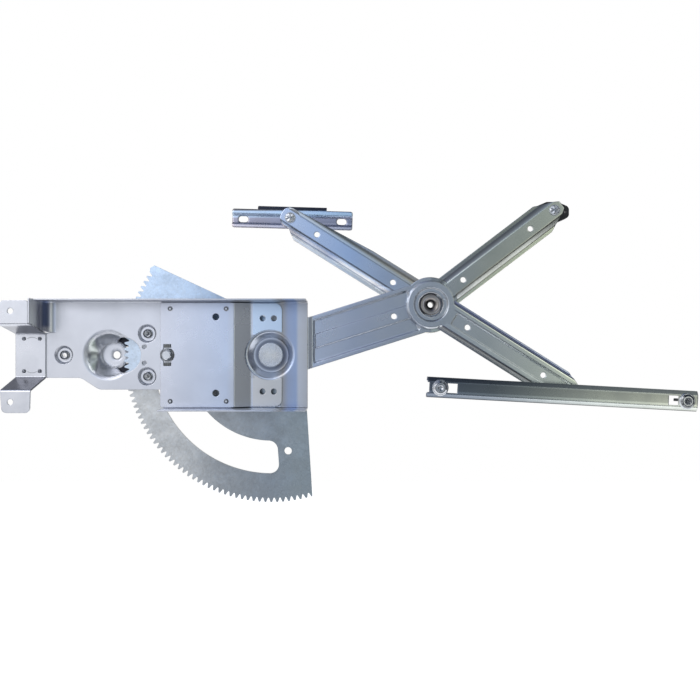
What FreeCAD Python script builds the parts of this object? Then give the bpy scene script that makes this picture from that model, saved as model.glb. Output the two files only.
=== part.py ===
"""Crossed-arm window regulator for a vehicle door, stamped from zinc-plated steel sheet.

Axes: +X runs from the motor end to the guide rail end, +Z is up in the door, and +Y points away
from the side that the motor is fitted from. The origin is the centre of the motor shaft hole, on
the floor of the pinion dish. Lengths are in millimetres and angles in degrees. Inside the
functions Y = 0 is the front face of the base plate, and save() moves every piece to the origin.
"""

import FreeCAD, Part
import math
import os

V = FreeCAD.Vector

# Sheet thicknesses
BASE_SHEET = 1.5
PANEL_SHEET = 1.5
DOOR_SHEET = 1.5
ARM_SHEET = 2.0
GLASS_SHEET = 1.5
RAIL_SHEET = 1.2
SECTOR_SHEET = 2.5

# Gearing and linkage
TOOTH_MODULE = 2.0
SECTOR_TEETH_IN_FULL_CIRCLE = 156
PINION_TEETH = 11
ARM_LENGTH = 179.5
LIFT_ANGLE = 17.5
LIFT_TIP_LENGTH = 169.0
LIFT_TIP_ANGLE = 37.3
EQUALIZER_ANGLE = 32.2
RAIL_TILT = 3.1

# Clearances
RUNNING_GAP = 0.3
BORE_CLEARANCE = 0.05
FIT_GAP = 0.4

# Base plate
CHANNEL_HEIGHT = 114.6
TOP_FLANGE_DEPTH = 28.0
BOTTOM_FLANGE_DEPTH = 24.0
BEND_RADIUS = 1.0
PLATE_CORNER_RADIUS = 2.0
BASE_LEFT = -69.0
BASE_RIGHT = 206.5
TONGUE_LENGTH = 28.0
TONGUE_HALF_HEIGHT = 21.0
END_WALL_DEPTH = 36.0
END_WALL_FILLET = 12.0
LEFT_LOWER_EDGE = -24.0
DISH_LOWER_EDGE = -36.3
LOWER_EDGE_RADIUS = 11.0
LOWER_EDGE_START = -31.0
LOWER_EDGE_END = -12.0
BOTTOM_FLANGE_START = 55.5
STEP_DEPTH = 8.0
STEP_START = 127.0
STEP_RUN = 11.5

# Pinion dish
DRUM_FLOOR_GAP = 1.1
DRUM_RIM_FILLET = 4.0
DRUM_OFFSET = -2.5
DRUM_RIM_RADIUS = 23.4
DRUM_FLOOR_RADIUS = 13.5
SHAFT_HOLE_RADIUS = 4.0
WINDOW_RADIUS = 18.5
WINDOW_OFFSET = 13.6
WINDOW_BACK_GAP = 0.7

# Motor fixings
MOTOR_LEFT_X = -49.0
MOTOR_RIGHT_X = 38.5
MOTOR_RIGHT_SPACING = 45.0
CUP_RADIUS = 9.7
CUP_DEPTH = 3.0
CUP_RUN = 2.2
NUT_RADIUS = 4.5
NUT_THREAD_RADIUS = 2.1
NUT_HEX_RADIUS = 6.5
NUT_HEX_HEIGHT = 4.0
NUT_RISE = 1.2
NUT_SINK_RADIUS = 3.3
DIMPLE_X = 35.6
DIMPLE_Z = 8.5
DIMPLE_RADIUS = 2.6
DIMPLE_DEPTH = 0.7

# Pivot dish and main pivot
PIVOT_DISH_DEPTH = 6.0
PIVOT_RIM_RADIUS = 24.6
PIVOT_FLOOR_RADIUS = 18.4
PIVOT_FILLET = 4.0
PIN_RADIUS = 8.0
PIN_HEAD_RADIUS = 13.4
PIN_HEAD_HEIGHT = 2.6
PIN_HEAD_CHAMFER = 0.8
PIN_TAIL_RADIUS = 12.0
PIN_TAIL_HEIGHT = 2.2
WASHER_RADIUS = 17.0
WASHER_THICKNESS = 0.6
BUSH_RADIUS = 11.0

# Reinforcement panel
PANEL_LEFT = 52.5
PANEL_BEND = 130.0
PANEL_SLOPE_RUN = 16.5
EAR_LENGTH = 33.0
EAR_INNER_EDGE = 23.5
PANEL_DISH_GAP = 2.0
PANEL_CORNER_RADIUS = 1.5
EAR_CORNER_RADIUS = 7.4
PANEL_RIVET_X = (63.0, 121.7)
PANEL_RIVET_Z = 48.5
SMALL_RIVET_RADIUS = 2.0
SMALL_RIVET_HEAD_RADIUS = 3.4
SMALL_RIVET_HEAD_HEIGHT = 1.2
PANEL_HOLE_X = 111.0
PANEL_HOLE_SPACING = 80.0
PANEL_HOLE_RADIUS = 3.5
EAR_HOLE_X = 159.0
EAR_HOLE_PITCH = 12.0
EAR_HOLE_SPACING = 77.6
EAR_HOLE_RADIUS = 3.1

# Stop stud
STOP_X = 60.0
STOP_HOLE_RADIUS = 7.4
STOP_NOTCH_WIDTH = 8.0
STOP_NOTCH_HEIGHT = 11.2
STOP_HEAD_RADIUS = 5.1
STOP_HEAD_HEIGHT = 6.0
STOP_HEAD_CHAMFER = 1.0
STOP_KEY_THICKNESS = 1.0
STOP_SHANK_RADIUS = 4.0
BUMPER_RADIUS = 8.5
STOP_FLANGE_HEIGHT = 2.0
BUMPER_OVERRUN = 1.5

# Door bracket
TAB_HOLE_FROM_EDGE = 11.0
TAB_FRONT = 36.0
UPPER_TAB_TOP = 55.0
UPPER_TAB_BOTTOM = 30.2
MIDDLE_TOP = 22.0
MIDDLE_BOTTOM = -23.2
LOWER_TAB_TOP = -34.8
LOWER_TAB_BOTTOM = -57.7
LOWER_TAB_SHIFT = 2.5
LOWER_TAB_TAPER = 1.0
TAB_CORNER_RADIUS = 5.0
TAB_WALL_CORNER_RADIUS = 3.0
DOOR_HOLE_X = -88.0
DOOR_HOLE_SPACING = 91.0
DOOR_HOLE_CENTRE_Z = -1.2
DOOR_HOLE_RADIUS = 3.0
CLINCH_X = (-90.0, -73.5)
CLINCH_Z = 17.0

# Sector gear
SECTOR_HUB_RADIUS = 34.4
SECTOR_UPPER_EDGE_ANGLE = 155.1
SECTOR_LOWER_EDGE_ANGLE = 273.6
FIRST_TOOTH_ANGLE = 147.7
TOOTH_COUNT = 60
LUG_HEIGHT = 2.0
TOOTH_ROOT_SAG = 0.25
TOOTH_ADDENDUM = 1.0
TOOTH_DEDENDUM = 1.2
PRESSURE_ANGLE = 20.0
SLOT_INNER_RADIUS = 92.0
SLOT_OUTER_RADIUS = 127.3
SLOT_START_ANGLE = 158.0
SLOT_END_ANGLE = 274.0
SLOT_CORNER_RADIUS = 10.0
SECTOR_HOLE_DX = 18.0
SECTOR_HOLE_Z = -103.0
SECTOR_HOLE_RADIUS = 4.0
SECTOR_RIVET_CIRCLE = 24.5
SECTOR_RIVET_RADIUS = 3.2
SECTOR_RIVET_HEAD_RADIUS = 5.0
SECTOR_RIVET_HEAD_HEIGHT = 1.5

# Lift arm
LIFT_ROOT_RADIUS = 32.0
LIFT_HALF_WIDTH = 26.8
LIFT_JOGGLE_START = 41.0
LIFT_JOGGLE_END = 46.0
LIFT_RIM_DROP = 2.1
LIFT_RIM_WIDTH = 4.4
LIFT_TRAY_DEPTH = 3.4
LIFT_FLANGE_DEPTH = 6.0
LIFT_BEAD_HALF_WIDTH = 7.6
LIFT_BEAD_HEIGHT = 1.1
LIFT_TRAY_RUN = 1.2
LIFT_TRAY_START = 47.0
LIFT_TRAY_END_FROM_HUB = 18.5
TRAY_CORNER_RADIUS = 2.0
LIFT_HOLE_FROM_HUB = 41.0
LIFT_TIP_HOLES = (44.7, 135.8)
HUB_PLATE_RADIUS = 30.0
ARM_HOLE_RADIUS = 3.0
BEAD_END_GAP = 0.6
BEAD_RUN = 0.7
BEAD_CORNER_RADIUS = 1.0

# Hat sections of the arms
WEB_HALF_WIDTH = 8.2
HAT_HALF_WIDTH = 13.6
LIP_HALF_WIDTH = 17.2
TIP_CHAMFER_START = 15.0
TIP_CHAMFER_END = 4.0
TIP_OVERHANG = 9.8
TIP_HALF_WIDTH = 4.6
TIP_CORNER_RADIUS = 2.0
ARM_BEND_RADIUS = 0.8
HAT_DEPTH = 5.0
REAR_TIP_HALF_WIDTH = 10.4
REAR_TIP_CORNER_RADIUS = 9.4
REAR_TIP_OVERHANG = 10.8
REAR_WEB_HALF_WIDTH = 7.4
REAR_HAT_HALF_WIDTH = 14.9
REAR_LIP_HALF_WIDTH = 18.4
REAR_TAPER_START = 84.0
REAR_TAPER_HALF_WIDTH = 18.0

# Equalizer
DISC_RADIUS = 24.6
DISC_RIM_RUN = 1.6
DISC_FRONT = 12.0
DISC_STEP_RADIUS = 18.6
DISC_STEP_DEPTH = 1.8
DISC_FLOOR_RADIUS = 12.6
POCKET_DEPTH = 2.6
POCKET_HALF_WIDTH = 7.6
RIB_HALF_WIDTH = 13.6
POCKET_START = 28.5
POCKET_RUN = 1.0
POCKET_CORNER_RADIUS = 3.0
FRONT_FLANK_RUN = 2.4
FRONT_LIP_HALF_WIDTH = 17.8
DISC_STEP_RUN = 1.0
FRONT_ARM_HOLES = (46.2, 142.0)
REAR_ARM_HOLES = (47.0, 145.0)
REAR_BOSS_RADIUS = 13.0
REAR_BOSS_RUN = 3.5
REAR_HUB_RADIUS = 27.5
REAR_HUB_RIM_RUN = 2.6
REAR_HUB_RIM_DEPTH = 4.0
HUB_OVERLAP = 0.5
SCISSOR_SHANK_RADIUS = 9.0
SCISSOR_BORE_RADIUS = 3.1
SCISSOR_HEAD_RADIUS = 11.4
SCISSOR_HEAD_HEIGHT = 2.6
SCISSOR_HEAD_CHAMFER = 1.0
SCISSOR_SINK_RADIUS = 7.6
SCISSOR_TAIL_HEIGHT = 1.6
HUB_WASHER_THICKNESS = 0.5
HUB_WASHER_RADIUS = 14.0

# Glass bracket
GLASS_LENGTH = 132.8
GLASS_LEFT_OF_PIVOT = 64.8
GLASS_TILT = -1.6
GLASS_TOP = 9.9
GLASS_BOTTOM = -10.7
GLASS_UPPER_BAND = 4.6
GLASS_LOWER_BAND = -6.6
GLASS_TROUGH_DEPTH = 2.4
GLASS_TROUGH_RUN = 1.6
GLASS_CORNER_RADIUS = 2.5
GLASS_BEND_RADIUS = 0.5
GLASS_LIP_START = 28.0
GLASS_LIP_LENGTH = 76.0
GLASS_LIP_RISE = 4.4
GLASS_LIP_RUN = 4.0
GLASS_SLOT_LENGTH = 10.8
GLASS_SLOT_WIDTH = 6.8
GLASS_SLOT_SPACING = 108.6
GLASS_SLOT_FROM_END = 12.2
GLASS_SLOT_Z = -1.1
GLASS_PAD_RADIUS = 10.0
GLASS_BUSH_RADIUS = 6.6
GLASS_BUSH_FLANGE_RADIUS = 8.4
GLASS_BUSH_FLANGE = 1.0
GLASS_CLEARANCE = 1.0

# Studs and shoes
STUD_RADIUS = 5.0
STUD_RIVET_RADIUS = 4.0
STUD_FACE_RADIUS = 6.0
STUD_FACE_HEIGHT = 0.8
STUD_HEAD_RADIUS = 8.0
STUD_HEAD_HEIGHT = 1.6
STUD_LONG_GAP = 3.0
SHOE_LENGTH = 37.0
SHOE_HALF_HEIGHT = 11.0
SHOE_SHOULDER = 6.0
SHOE_THICKNESS = 9.0
SHOE_NOSE_HALF_HEIGHT = 5.6
SHOE_NOSE_RADIUS = 5.0
SHOE_NOSE_HOLE_X = 14.3
SHOE_NOSE_HOLE_RADIUS = 1.6
RAIL_SHOE_LENGTH = 32.0
RAIL_SHOE_CORNER_RADIUS = 4.0

# Guide rail
RAIL_LENGTH = 281.0
RAIL_LEFT_OF_SHOE = 158.5
RAIL_HEIGHT = 21.4
RAIL_FACE_HALF_HEIGHT = 6.2
RAIL_FRONT = -9.0
RAIL_DEPTH = 10.0
RAIL_BEND_RADIUS = 0.6
RAIL_BEVEL_DEPTH = 2.4
RAIL_LIP = 4.2
RAIL_NUT_FROM_END = (13.4, 11.2)
RAIL_WINDOW_FROM_END = (21.0, 20.0)
RAIL_WINDOW_WIDTH = 10.2
RAIL_WINDOW_HEIGHT = 9.8
RAIL_NUT_FLANGE_RADIUS = 8.6
RAIL_NUT_FLANGE_HEIGHT = 1.2
RAIL_NUT_FLANGE_CHAMFER = 1.0
RAIL_NUT_COLLAR_RADIUS = 5.0
RAIL_NUT_COLLAR_HEIGHT = 1.4
RAIL_NUT_SINK_RADIUS = 3.8
RAIL_NUT_BODY_RADIUS = 5.4
RAIL_NUT_BODY_HEIGHT = 4.0
RAIL_NUT_THREAD_RADIUS = 2.5
RAIL_NOTCH = 2.0
RAIL_NOTCH_MARGIN = 1.0

# Places that follow from the sizes above
SECTOR_PITCH_RADIUS = TOOTH_MODULE * SECTOR_TEETH_IN_FULL_CIRCLE / 2
PIVOT_X = SECTOR_PITCH_RADIUS + TOOTH_MODULE * PINION_TEETH / 2
HALF_HEIGHT = CHANNEL_HEIGHT / 2
INNER_HALF_HEIGHT = HALF_HEIGHT - BASE_SHEET
LOWER_LEVEL = STEP_DEPTH
PIVOT_FLOOR = LOWER_LEVEL + PIVOT_DISH_DEPTH
WASHER_FRONT = PIVOT_FLOOR + BASE_SHEET
SECTOR_FRONT = WASHER_FRONT + WASHER_THICKNESS + RUNNING_GAP
LIFT_ROOT = SECTOR_FRONT + SECTOR_SHEET
DRUM_DEPTH = LIFT_ROOT + DRUM_FLOOR_GAP
PANEL_HALF_HEIGHT = INNER_HALF_HEIGHT - BEND_RADIUS
TAB_SLOPE = (UPPER_TAB_BOTTOM - MIDDLE_TOP) / (TAB_FRONT - DOOR_SHEET)
END_WALL_FOOT = MIDDLE_TOP + DOOR_SHEET * (math.hypot(1, TAB_SLOPE) - TAB_SLOPE) + FIT_GAP
PANEL_RIGHT = PANEL_BEND + PANEL_SLOPE_RUN + EAR_LENGTH
EAR_FRONT = LOWER_LEVEL - PANEL_SHEET
LIFT_RIM = LIFT_ROOT + LIFT_RIM_DROP
LIFT_WEB = LIFT_RIM + LIFT_TRAY_DEPTH
LIFT_BACK = LIFT_RIM + HAT_DEPTH + ARM_SHEET
DISC_FLOOR = LIFT_RIM - RUNNING_GAP - HUB_WASHER_THICKNESS - ARM_SHEET
REAR_BOSS = LIFT_RIM + ARM_SHEET + HUB_WASHER_THICKNESS + RUNNING_GAP
REAR_WEB = LIFT_BACK + RUNNING_GAP + FIT_GAP
REAR_BACK = REAR_WEB + HAT_DEPTH + ARM_SHEET
GLASS_FRONT = REAR_BACK + GLASS_CLEARANCE
GLASS_PAD_FRONT = GLASS_FRONT + GLASS_TROUGH_DEPTH
SHOE_FRONT = LIFT_BACK + STUD_LONG_GAP
LIFT_LEAN = math.tan(math.radians(LIFT_ANGLE))
POCKET_WEB = DISC_FRONT + POCKET_DEPTH
RAIL_BACK = RAIL_FRONT + RAIL_DEPTH


def heading(angle):
    """Unit vector in the XZ plane, counter-clockwise from +X as the motor side sees it."""
    return V(math.cos(math.radians(angle)), 0, math.sin(math.radians(angle)))


PIVOT = V(PIVOT_X, 0, 0)
HUB = PIVOT + heading(LIFT_ANGLE) * ARM_LENGTH
LIFT_TIP = HUB + heading(LIFT_TIP_ANGLE) * LIFT_TIP_LENGTH
GLASS_PIVOT = HUB + heading(180 - EQUALIZER_ANGLE) * ARM_LENGTH
RAIL_PIVOT = HUB + heading(-EQUALIZER_ANGLE) * ARM_LENGTH


def save(name, *shapes):
    """Write one node, moved so that the origin lies on the pinion dish floor."""
    solids = [solid for shape in shapes for solid in shape.Solids]
    shape = solids[0] if len(solids) == 1 else Part.makeCompound(solids)
    shape.translate(V(0, -DRUM_DEPTH, 0))
    shape.exportStep("parts/" + name + ".step")


def merged(shape):
    """The result of cuts and joins, with split faces joined again."""
    return shape.removeSplitter()


def placed(shape, point, angle):
    """A shape drawn along local +X from the origin, turned in the XZ plane and moved to a point."""
    shape = shape.copy()
    shape.rotate(V(0, 0, 0), V(0, -1, 0), angle)
    shape.translate(V(point.x, 0, point.z))
    return shape


def cylinder(x, z, radius, front, back):
    return Part.makeCylinder(radius, back - front, V(x, front, z), V(0, 1, 0))


def ring(x, z, outer, inner, front, back):
    return cylinder(x, z, outer, front, back).cut(cylinder(x, z, inner, front - 1, back + 1))


def cone(x, z, front_radius, back_radius, front, back):
    return Part.makeCone(front_radius, back_radius, back - front, V(x, front, z), V(0, 1, 0))


def plate_box(left, right, front, back, bottom, top):
    return Part.makeBox(right - left, back - front, top - bottom, V(left, front, bottom))


def corner_edges(corners, closed, lift):
    """Lines and tangent arcs through corners (a, b, radius), mapped into space by lift(a, b)."""
    count = len(corners)
    starts, ends, middles = [], [], []
    for index, (a, b, radius) in enumerate(corners):
        here = V(a, b, 0)
        if radius == 0 or (not closed and index in (0, count - 1)):
            starts.append(here)
            ends.append(here)
            middles.append(None)
            continue
        before = V(*corners[index - 1][:2], 0)
        after = V(*corners[(index + 1) % count][:2], 0)
        back = (before - here).normalize()
        ahead = (after - here).normalize()
        half = back.getAngle(ahead) / 2
        reach = radius / math.tan(half)
        middle = here + (back + ahead).normalize() * (radius / math.sin(half) - radius)
        starts.append(here + back * reach)
        ends.append(here + ahead * reach)
        middles.append(middle)
    edges = []
    for index in range(count):
        if middles[index] is not None:
            points = (starts[index], middles[index], ends[index])
            edges.append(Part.Arc(*[lift(p.x, p.y) for p in points]).toShape())
        if index < count - 1 or closed:
            first, last = ends[index], starts[(index + 1) % count]
            if (last - first).Length > 1e-6:
                edges.append(Part.LineSegment(lift(first.x, first.y), lift(last.x, last.y)).toShape())
    return edges


def outline_wire(corners, y):
    """Closed outline with rounded corners, in the XZ plane at depth y."""
    return Part.Wire(corner_edges(corners, True, lambda a, b: V(a, y, b)))


def outline_prism(corners, front, back):
    return Part.Face(outline_wire(corners, front)).extrude(V(0, back - front, 0))


def grown(corners, distance):
    """The same outline moved outwards by a distance, for corners that run counter-clockwise."""
    count = len(corners)
    result = []
    for index, (a, b, radius) in enumerate(corners):
        here = V(a, b, 0)
        back = (here - V(*corners[index - 1][:2], 0)).normalize()
        ahead = (V(*corners[(index + 1) % count][:2], 0) - here).normalize()
        out_back = V(back.y, -back.x, 0)
        out_ahead = V(ahead.y, -ahead.x, 0)
        mitre = (out_back + out_ahead) * (1 / (1 + out_back.dot(out_ahead)))
        moved = here + mitre * distance
        turns_left = back.cross(ahead).z > 0
        new_radius = radius + distance if turns_left else radius - distance
        result.append((moved.x, moved.y, max(new_radius, 0.05) if radius else 0))
    return result


def rectangle(left, right, bottom, top, radius):
    return [(left, bottom, radius), (right, bottom, radius), (right, top, radius), (left, top, radius)]


def leaning_rectangle(left, right, half_height, lean, radius):
    """Rectangle whose left side leans by so much in X for each unit of Z."""
    shift = lean * half_height
    return [(left - shift, -half_height, radius), (right, -half_height, radius),
            (right, half_height, radius), (left + shift, half_height, radius)]


def loft(first, first_y, second, second_y):
    wires = [outline_wire(first, first_y), outline_wire(second, second_y)]
    return Part.makeLoft(wires, True, True)


def mitre_shift(run, depth, sheet):
    """How far a bent wall's back face stands outside its front face, one sheet further back."""
    return sheet * (math.hypot(run, depth) - run) / depth


def pressed(plate, mouth, y, run, depth, sheet):
    """Press a flat-bottomed pocket away from the viewer: its sloping wall closes in by run."""
    shift = mitre_shift(run, depth, sheet)
    floor = grown(mouth, -run)
    body = loft(grown(mouth, shift), y + sheet, grown(floor, shift), y + depth + sheet)
    opening = outline_prism(mouth, y - 1, y)
    return plate.fuse(body).cut(loft(mouth, y, floor, y + depth)).cut(opening)


def round_pressed(plate, x, z, rim, floor, y, depth, sheet):
    """Press a round dish away from the viewer, from its rim radius to its floor radius."""
    shift = mitre_shift(rim - floor, depth, sheet)
    body = cone(x, z, rim + shift, floor + shift, y + sheet, y + depth + sheet)
    plug = cylinder(x, z, rim + shift, y, y + sheet)
    hollow = cone(x, z, rim, floor, y, y + depth)
    return plate.fuse(plug).fuse(body).cut(hollow)


def strip_section(path, sheet, radius, lift):
    """Closed section of a bent sheet: path is its front face, and the sheet lies to its right."""
    count = len(path)
    back, front_corners, back_corners = [], [], []
    for index, (a, b) in enumerate(path):
        here = V(a, b, 0)
        steps = []
        if index > 0:
            steps.append((here - V(*path[index - 1], 0)).normalize())
        if index < count - 1:
            steps.append((V(*path[index + 1], 0) - here).normalize())
        sides = [V(step.y, -step.x, 0) for step in steps]
        total = sides[0] + sides[-1]
        moved = here + total * (sheet / (1 + sides[0].dot(sides[-1])))
        back.append(moved)
        turn = steps[0].cross(steps[-1]).z if len(steps) == 2 else 0
        front_radius = radius if turn > 0 else radius + sheet
        back_radius = radius + sheet if turn > 0 else radius
        bend = radius > 0 and 0 < index < count - 1
        front_corners.append((a, b, front_radius if bend else 0))
        back_corners.append((moved.x, moved.y, back_radius if bend else 0))
    edges = corner_edges(front_corners, False, lift)
    edges.append(Part.LineSegment(lift(path[-1][0], path[-1][1]), lift(back[-1].x, back[-1].y)).toShape())
    edges += corner_edges(back_corners[::-1], False, lift)
    edges.append(Part.LineSegment(lift(back[0].x, back[0].y), lift(path[0][0], path[0][1])).toShape())
    return Part.Face(Part.Wire(edges))


def bent_along_z(path, sheet, radius, bottom, top, lean=0):
    """A bent sheet whose section lies in the XY plane; path runs from right to left, and its
    bends run along Z or lean from it by so much in X for each unit of Z."""
    face = strip_section(path, sheet, radius, lambda a, b: V(a + lean * bottom, b, bottom))
    return face.extrude(V(lean * (top - bottom), 0, top - bottom))


def bent_along_x(path, sheet, radius, left, right):
    """A bent sheet whose section lies in the YZ plane; path runs from top to bottom."""
    face = strip_section(path, sheet, radius, lambda a, b: V(left, b, a))
    return face.extrude(V(right - left, 0, 0))


def turned(path, sheet):
    """A sheet with sharp bends, turned about the Y axis; path runs from rim to centre."""
    face = strip_section(path, sheet, 0, lambda a, b: V(a, b, 0))
    return face.revolve(V(0, 0, 0), V(0, 1, 0), 360)


def raised(plate, foot, y, run, height, sheet):
    """Press a flat-topped bead towards the viewer: its sloping wall closes in by run."""
    shift = mitre_shift(run, height, sheet)
    top = grown(foot, -run)
    hollow = loft(grown(foot, -shift), y + sheet, grown(top, -shift), y + sheet - height)
    return plate.fuse(loft(foot, y, top, y - height)).cut(hollow)


def rim_edges(shape, x, z, radius, y):
    """The edges on a circle about a Y axis, of one radius and at one depth."""
    found = []
    for edge in shape.Edges:
        middle = edge.valueAt((edge.FirstParameter + edge.LastParameter) / 2)
        points = [vertex.Point for vertex in edge.Vertexes] + [middle]
        off = [abs(math.hypot(p.x - x, p.z - z) - radius) + abs(p.y - y) for p in points]
        if max(off) < 0.01:
            found.append(edge)
    return found


def soft_dish(plate, x, z, rim, floor, y, depth, sheet, fillet):
    """A round dish with a rounded rim on the front face."""
    dish = round_pressed(plate, x, z, rim, floor, y, depth, sheet).removeSplitter()
    return dish.makeFillet(fillet, rim_edges(dish, x, z, rim, y))


def holed(shape, holes, front, back):
    """Drill holes, each (x, z, radius), through a range of depths."""
    for x, z, radius in holes:
        shape = shape.cut(cylinder(x, z, radius, front, back))
    return shape


def mirrored_pair(x, z):
    return [(x, z), (x, -z)]


def motor_fixings():
    return [(MOTOR_LEFT_X, 0.0)] + mirrored_pair(MOTOR_RIGHT_X, MOTOR_RIGHT_SPACING / 2)


def panel_rivet_places():
    return [place for x in PANEL_RIVET_X for place in mirrored_pair(x, PANEL_RIVET_Z)]


def clinch_places():
    return [place for x in CLINCH_X for place in mirrored_pair(x, CLINCH_Z)]


def door_fixing_holes():
    """Holes that run through both the base plate and the panel in front of it."""
    holes = [(x, z, PANEL_HOLE_RADIUS) for x, z in mirrored_pair(PANEL_HOLE_X, PANEL_HOLE_SPACING / 2)]
    for x in (EAR_HOLE_X, EAR_HOLE_X + EAR_HOLE_PITCH):
        holes += [(x, z, EAR_HOLE_RADIUS) for x, z in mirrored_pair(x, EAR_HOLE_SPACING / 2)]
    return holes


def base_plate():
    """Main stamping: motor floor, lower pivot level, two flanges, end wall and two dishes."""
    step_end = STEP_START + STEP_RUN
    tongue_left = BASE_LEFT - BASE_SHEET - TONGUE_LENGTH
    wall_start = BASE_LEFT + END_WALL_FILLET + BASE_SHEET
    floor_path = [(BASE_RIGHT, LOWER_LEVEL), (step_end, LOWER_LEVEL), (STEP_START, 0), (tongue_left, 0)]
    floor = bent_along_z(floor_path, BASE_SHEET, BEND_RADIUS, -HALF_HEIGHT, HALF_HEIGHT)
    outline = [
        (tongue_left, -TONGUE_HALF_HEIGHT, PLATE_CORNER_RADIUS), (BASE_LEFT, -TONGUE_HALF_HEIGHT, 0),
        (BASE_LEFT, LEFT_LOWER_EDGE, PLATE_CORNER_RADIUS),
        (LOWER_EDGE_START, LEFT_LOWER_EDGE, LOWER_EDGE_RADIUS),
        (LOWER_EDGE_END, DISH_LOWER_EDGE, LOWER_EDGE_RADIUS), (BOTTOM_FLANGE_START, DISH_LOWER_EDGE, 0),
        (BOTTOM_FLANGE_START, -HALF_HEIGHT, 0), (BASE_RIGHT, -HALF_HEIGHT, 0),
        (BASE_RIGHT, HALF_HEIGHT, 0), (wall_start, HALF_HEIGHT, 0), (wall_start, END_WALL_FOOT, 0),
        (BASE_LEFT, END_WALL_FOOT, 0), (BASE_LEFT, TONGUE_HALF_HEIGHT, 0),
        (tongue_left, TONGUE_HALF_HEIGHT, PLATE_CORNER_RADIUS),
    ]
    plate = floor.common(outline_prism(outline, -1, LOWER_LEVEL + BASE_SHEET + 1))
    wall_path = [(wall_start + 1, 0), (BASE_LEFT, 0), (BASE_LEFT, -END_WALL_DEPTH)]
    wall = bent_along_z(wall_path, BASE_SHEET, END_WALL_FILLET, END_WALL_FOOT, HALF_HEIGHT)
    plate = plate.fuse(wall.cut(below_end_wall(wall_start)))
    for side, left, depth in ((1, BASE_LEFT - BASE_SHEET, TOP_FLANGE_DEPTH),
                              (-1, BOTTOM_FLANGE_START, BOTTOM_FLANGE_DEPTH)):
        middle = BASE_SHEET / 2
        inner = side * INNER_HALF_HEIGHT
        points = [V(left, -depth, inner), V(BASE_RIGHT, -depth, inner),
                  V(BASE_RIGHT, LOWER_LEVEL + middle, inner), V(step_end, LOWER_LEVEL + middle, inner),
                  V(STEP_START, middle, inner), V(left, middle, inner), V(left, -depth, inner)]
        flange = Part.Face(Part.makePolygon(points)).extrude(V(0, 0, side * BASE_SHEET))
        plate = plate.fuse(flange)
    plate = plate.removeSplitter()
    plate = plate.makeFillet(BEND_RADIUS, flange_bends(plate, INNER_HALF_HEIGHT, 0))
    plate = plate.makeFillet(BEND_RADIUS + BASE_SHEET, flange_bends(plate, HALF_HEIGHT, BASE_SHEET))
    plate = soft_dish(plate, DRUM_OFFSET, 0, DRUM_RIM_RADIUS, DRUM_FLOOR_RADIUS, 0, DRUM_DEPTH,
                      BASE_SHEET, DRUM_RIM_FILLET)
    plate = soft_dish(plate, PIVOT_X, 0, PIVOT_RIM_RADIUS, PIVOT_FLOOR_RADIUS, LOWER_LEVEL,
                      PIVOT_DISH_DEPTH, BASE_SHEET, PIVOT_FILLET)
    for x, z in motor_fixings():
        plate = round_pressed(plate, x, z, CUP_RADIUS, CUP_RADIUS - CUP_RUN, 0, CUP_DEPTH, BASE_SHEET)
    for x, z in mirrored_pair(DIMPLE_X, DIMPLE_Z):
        plate = round_pressed(plate, x, z, DIMPLE_RADIUS, DIMPLE_RADIUS - DIMPLE_DEPTH, 0, DIMPLE_DEPTH,
                              BASE_SHEET)
    window_back = LIFT_ROOT + WINDOW_BACK_GAP
    holes = [(0, 0, SHAFT_HOLE_RADIUS), (PIVOT_X, 0, PIN_RADIUS), (STOP_X, 0, STOP_SHANK_RADIUS)]
    holes += [(x, z, NUT_RADIUS) for x, z in motor_fixings()]
    holes += [(x, z, SMALL_RIVET_RADIUS) for x, z in panel_rivet_places() + clinch_places()]
    plate = holed(plate, holes + door_fixing_holes(), -1, DRUM_DEPTH + BASE_SHEET + 1)
    return merged(plate.cut(cylinder(WINDOW_OFFSET, 0, WINDOW_RADIUS, -1, window_back)))


def below_end_wall(right):
    """Wedge under the end wall, whose lower edge follows the slope of the door bracket."""
    front = -END_WALL_DEPTH - 1
    left = BASE_LEFT - BASE_SHEET - 1
    points = [V(left, 0, END_WALL_FOOT), V(left, front, END_WALL_FOOT - TAB_SLOPE * front),
              V(left, front, END_WALL_FOOT - 1), V(left, 0, END_WALL_FOOT - 1), V(left, 0, END_WALL_FOOT)]
    return Part.Face(Part.makePolygon(points)).extrude(V(right - left, 0, 0))


def flange_bends(shape, height, behind):
    """Edges along X where the flanges meet the floor, on its front face or one sheet behind it."""
    found = []
    for edge in shape.Edges:
        box = edge.BoundBox
        level = abs(abs(box.ZMin) - height) < 0.01 and box.ZLength < 0.01
        at_floor = box.YMin > behind - 0.01 and box.YMax < LOWER_LEVEL + behind + 0.01
        if level and at_floor and box.XLength > 0.05 and box.XMin > BASE_LEFT + END_WALL_FILLET:
            found.append(edge)
    return found


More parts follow.
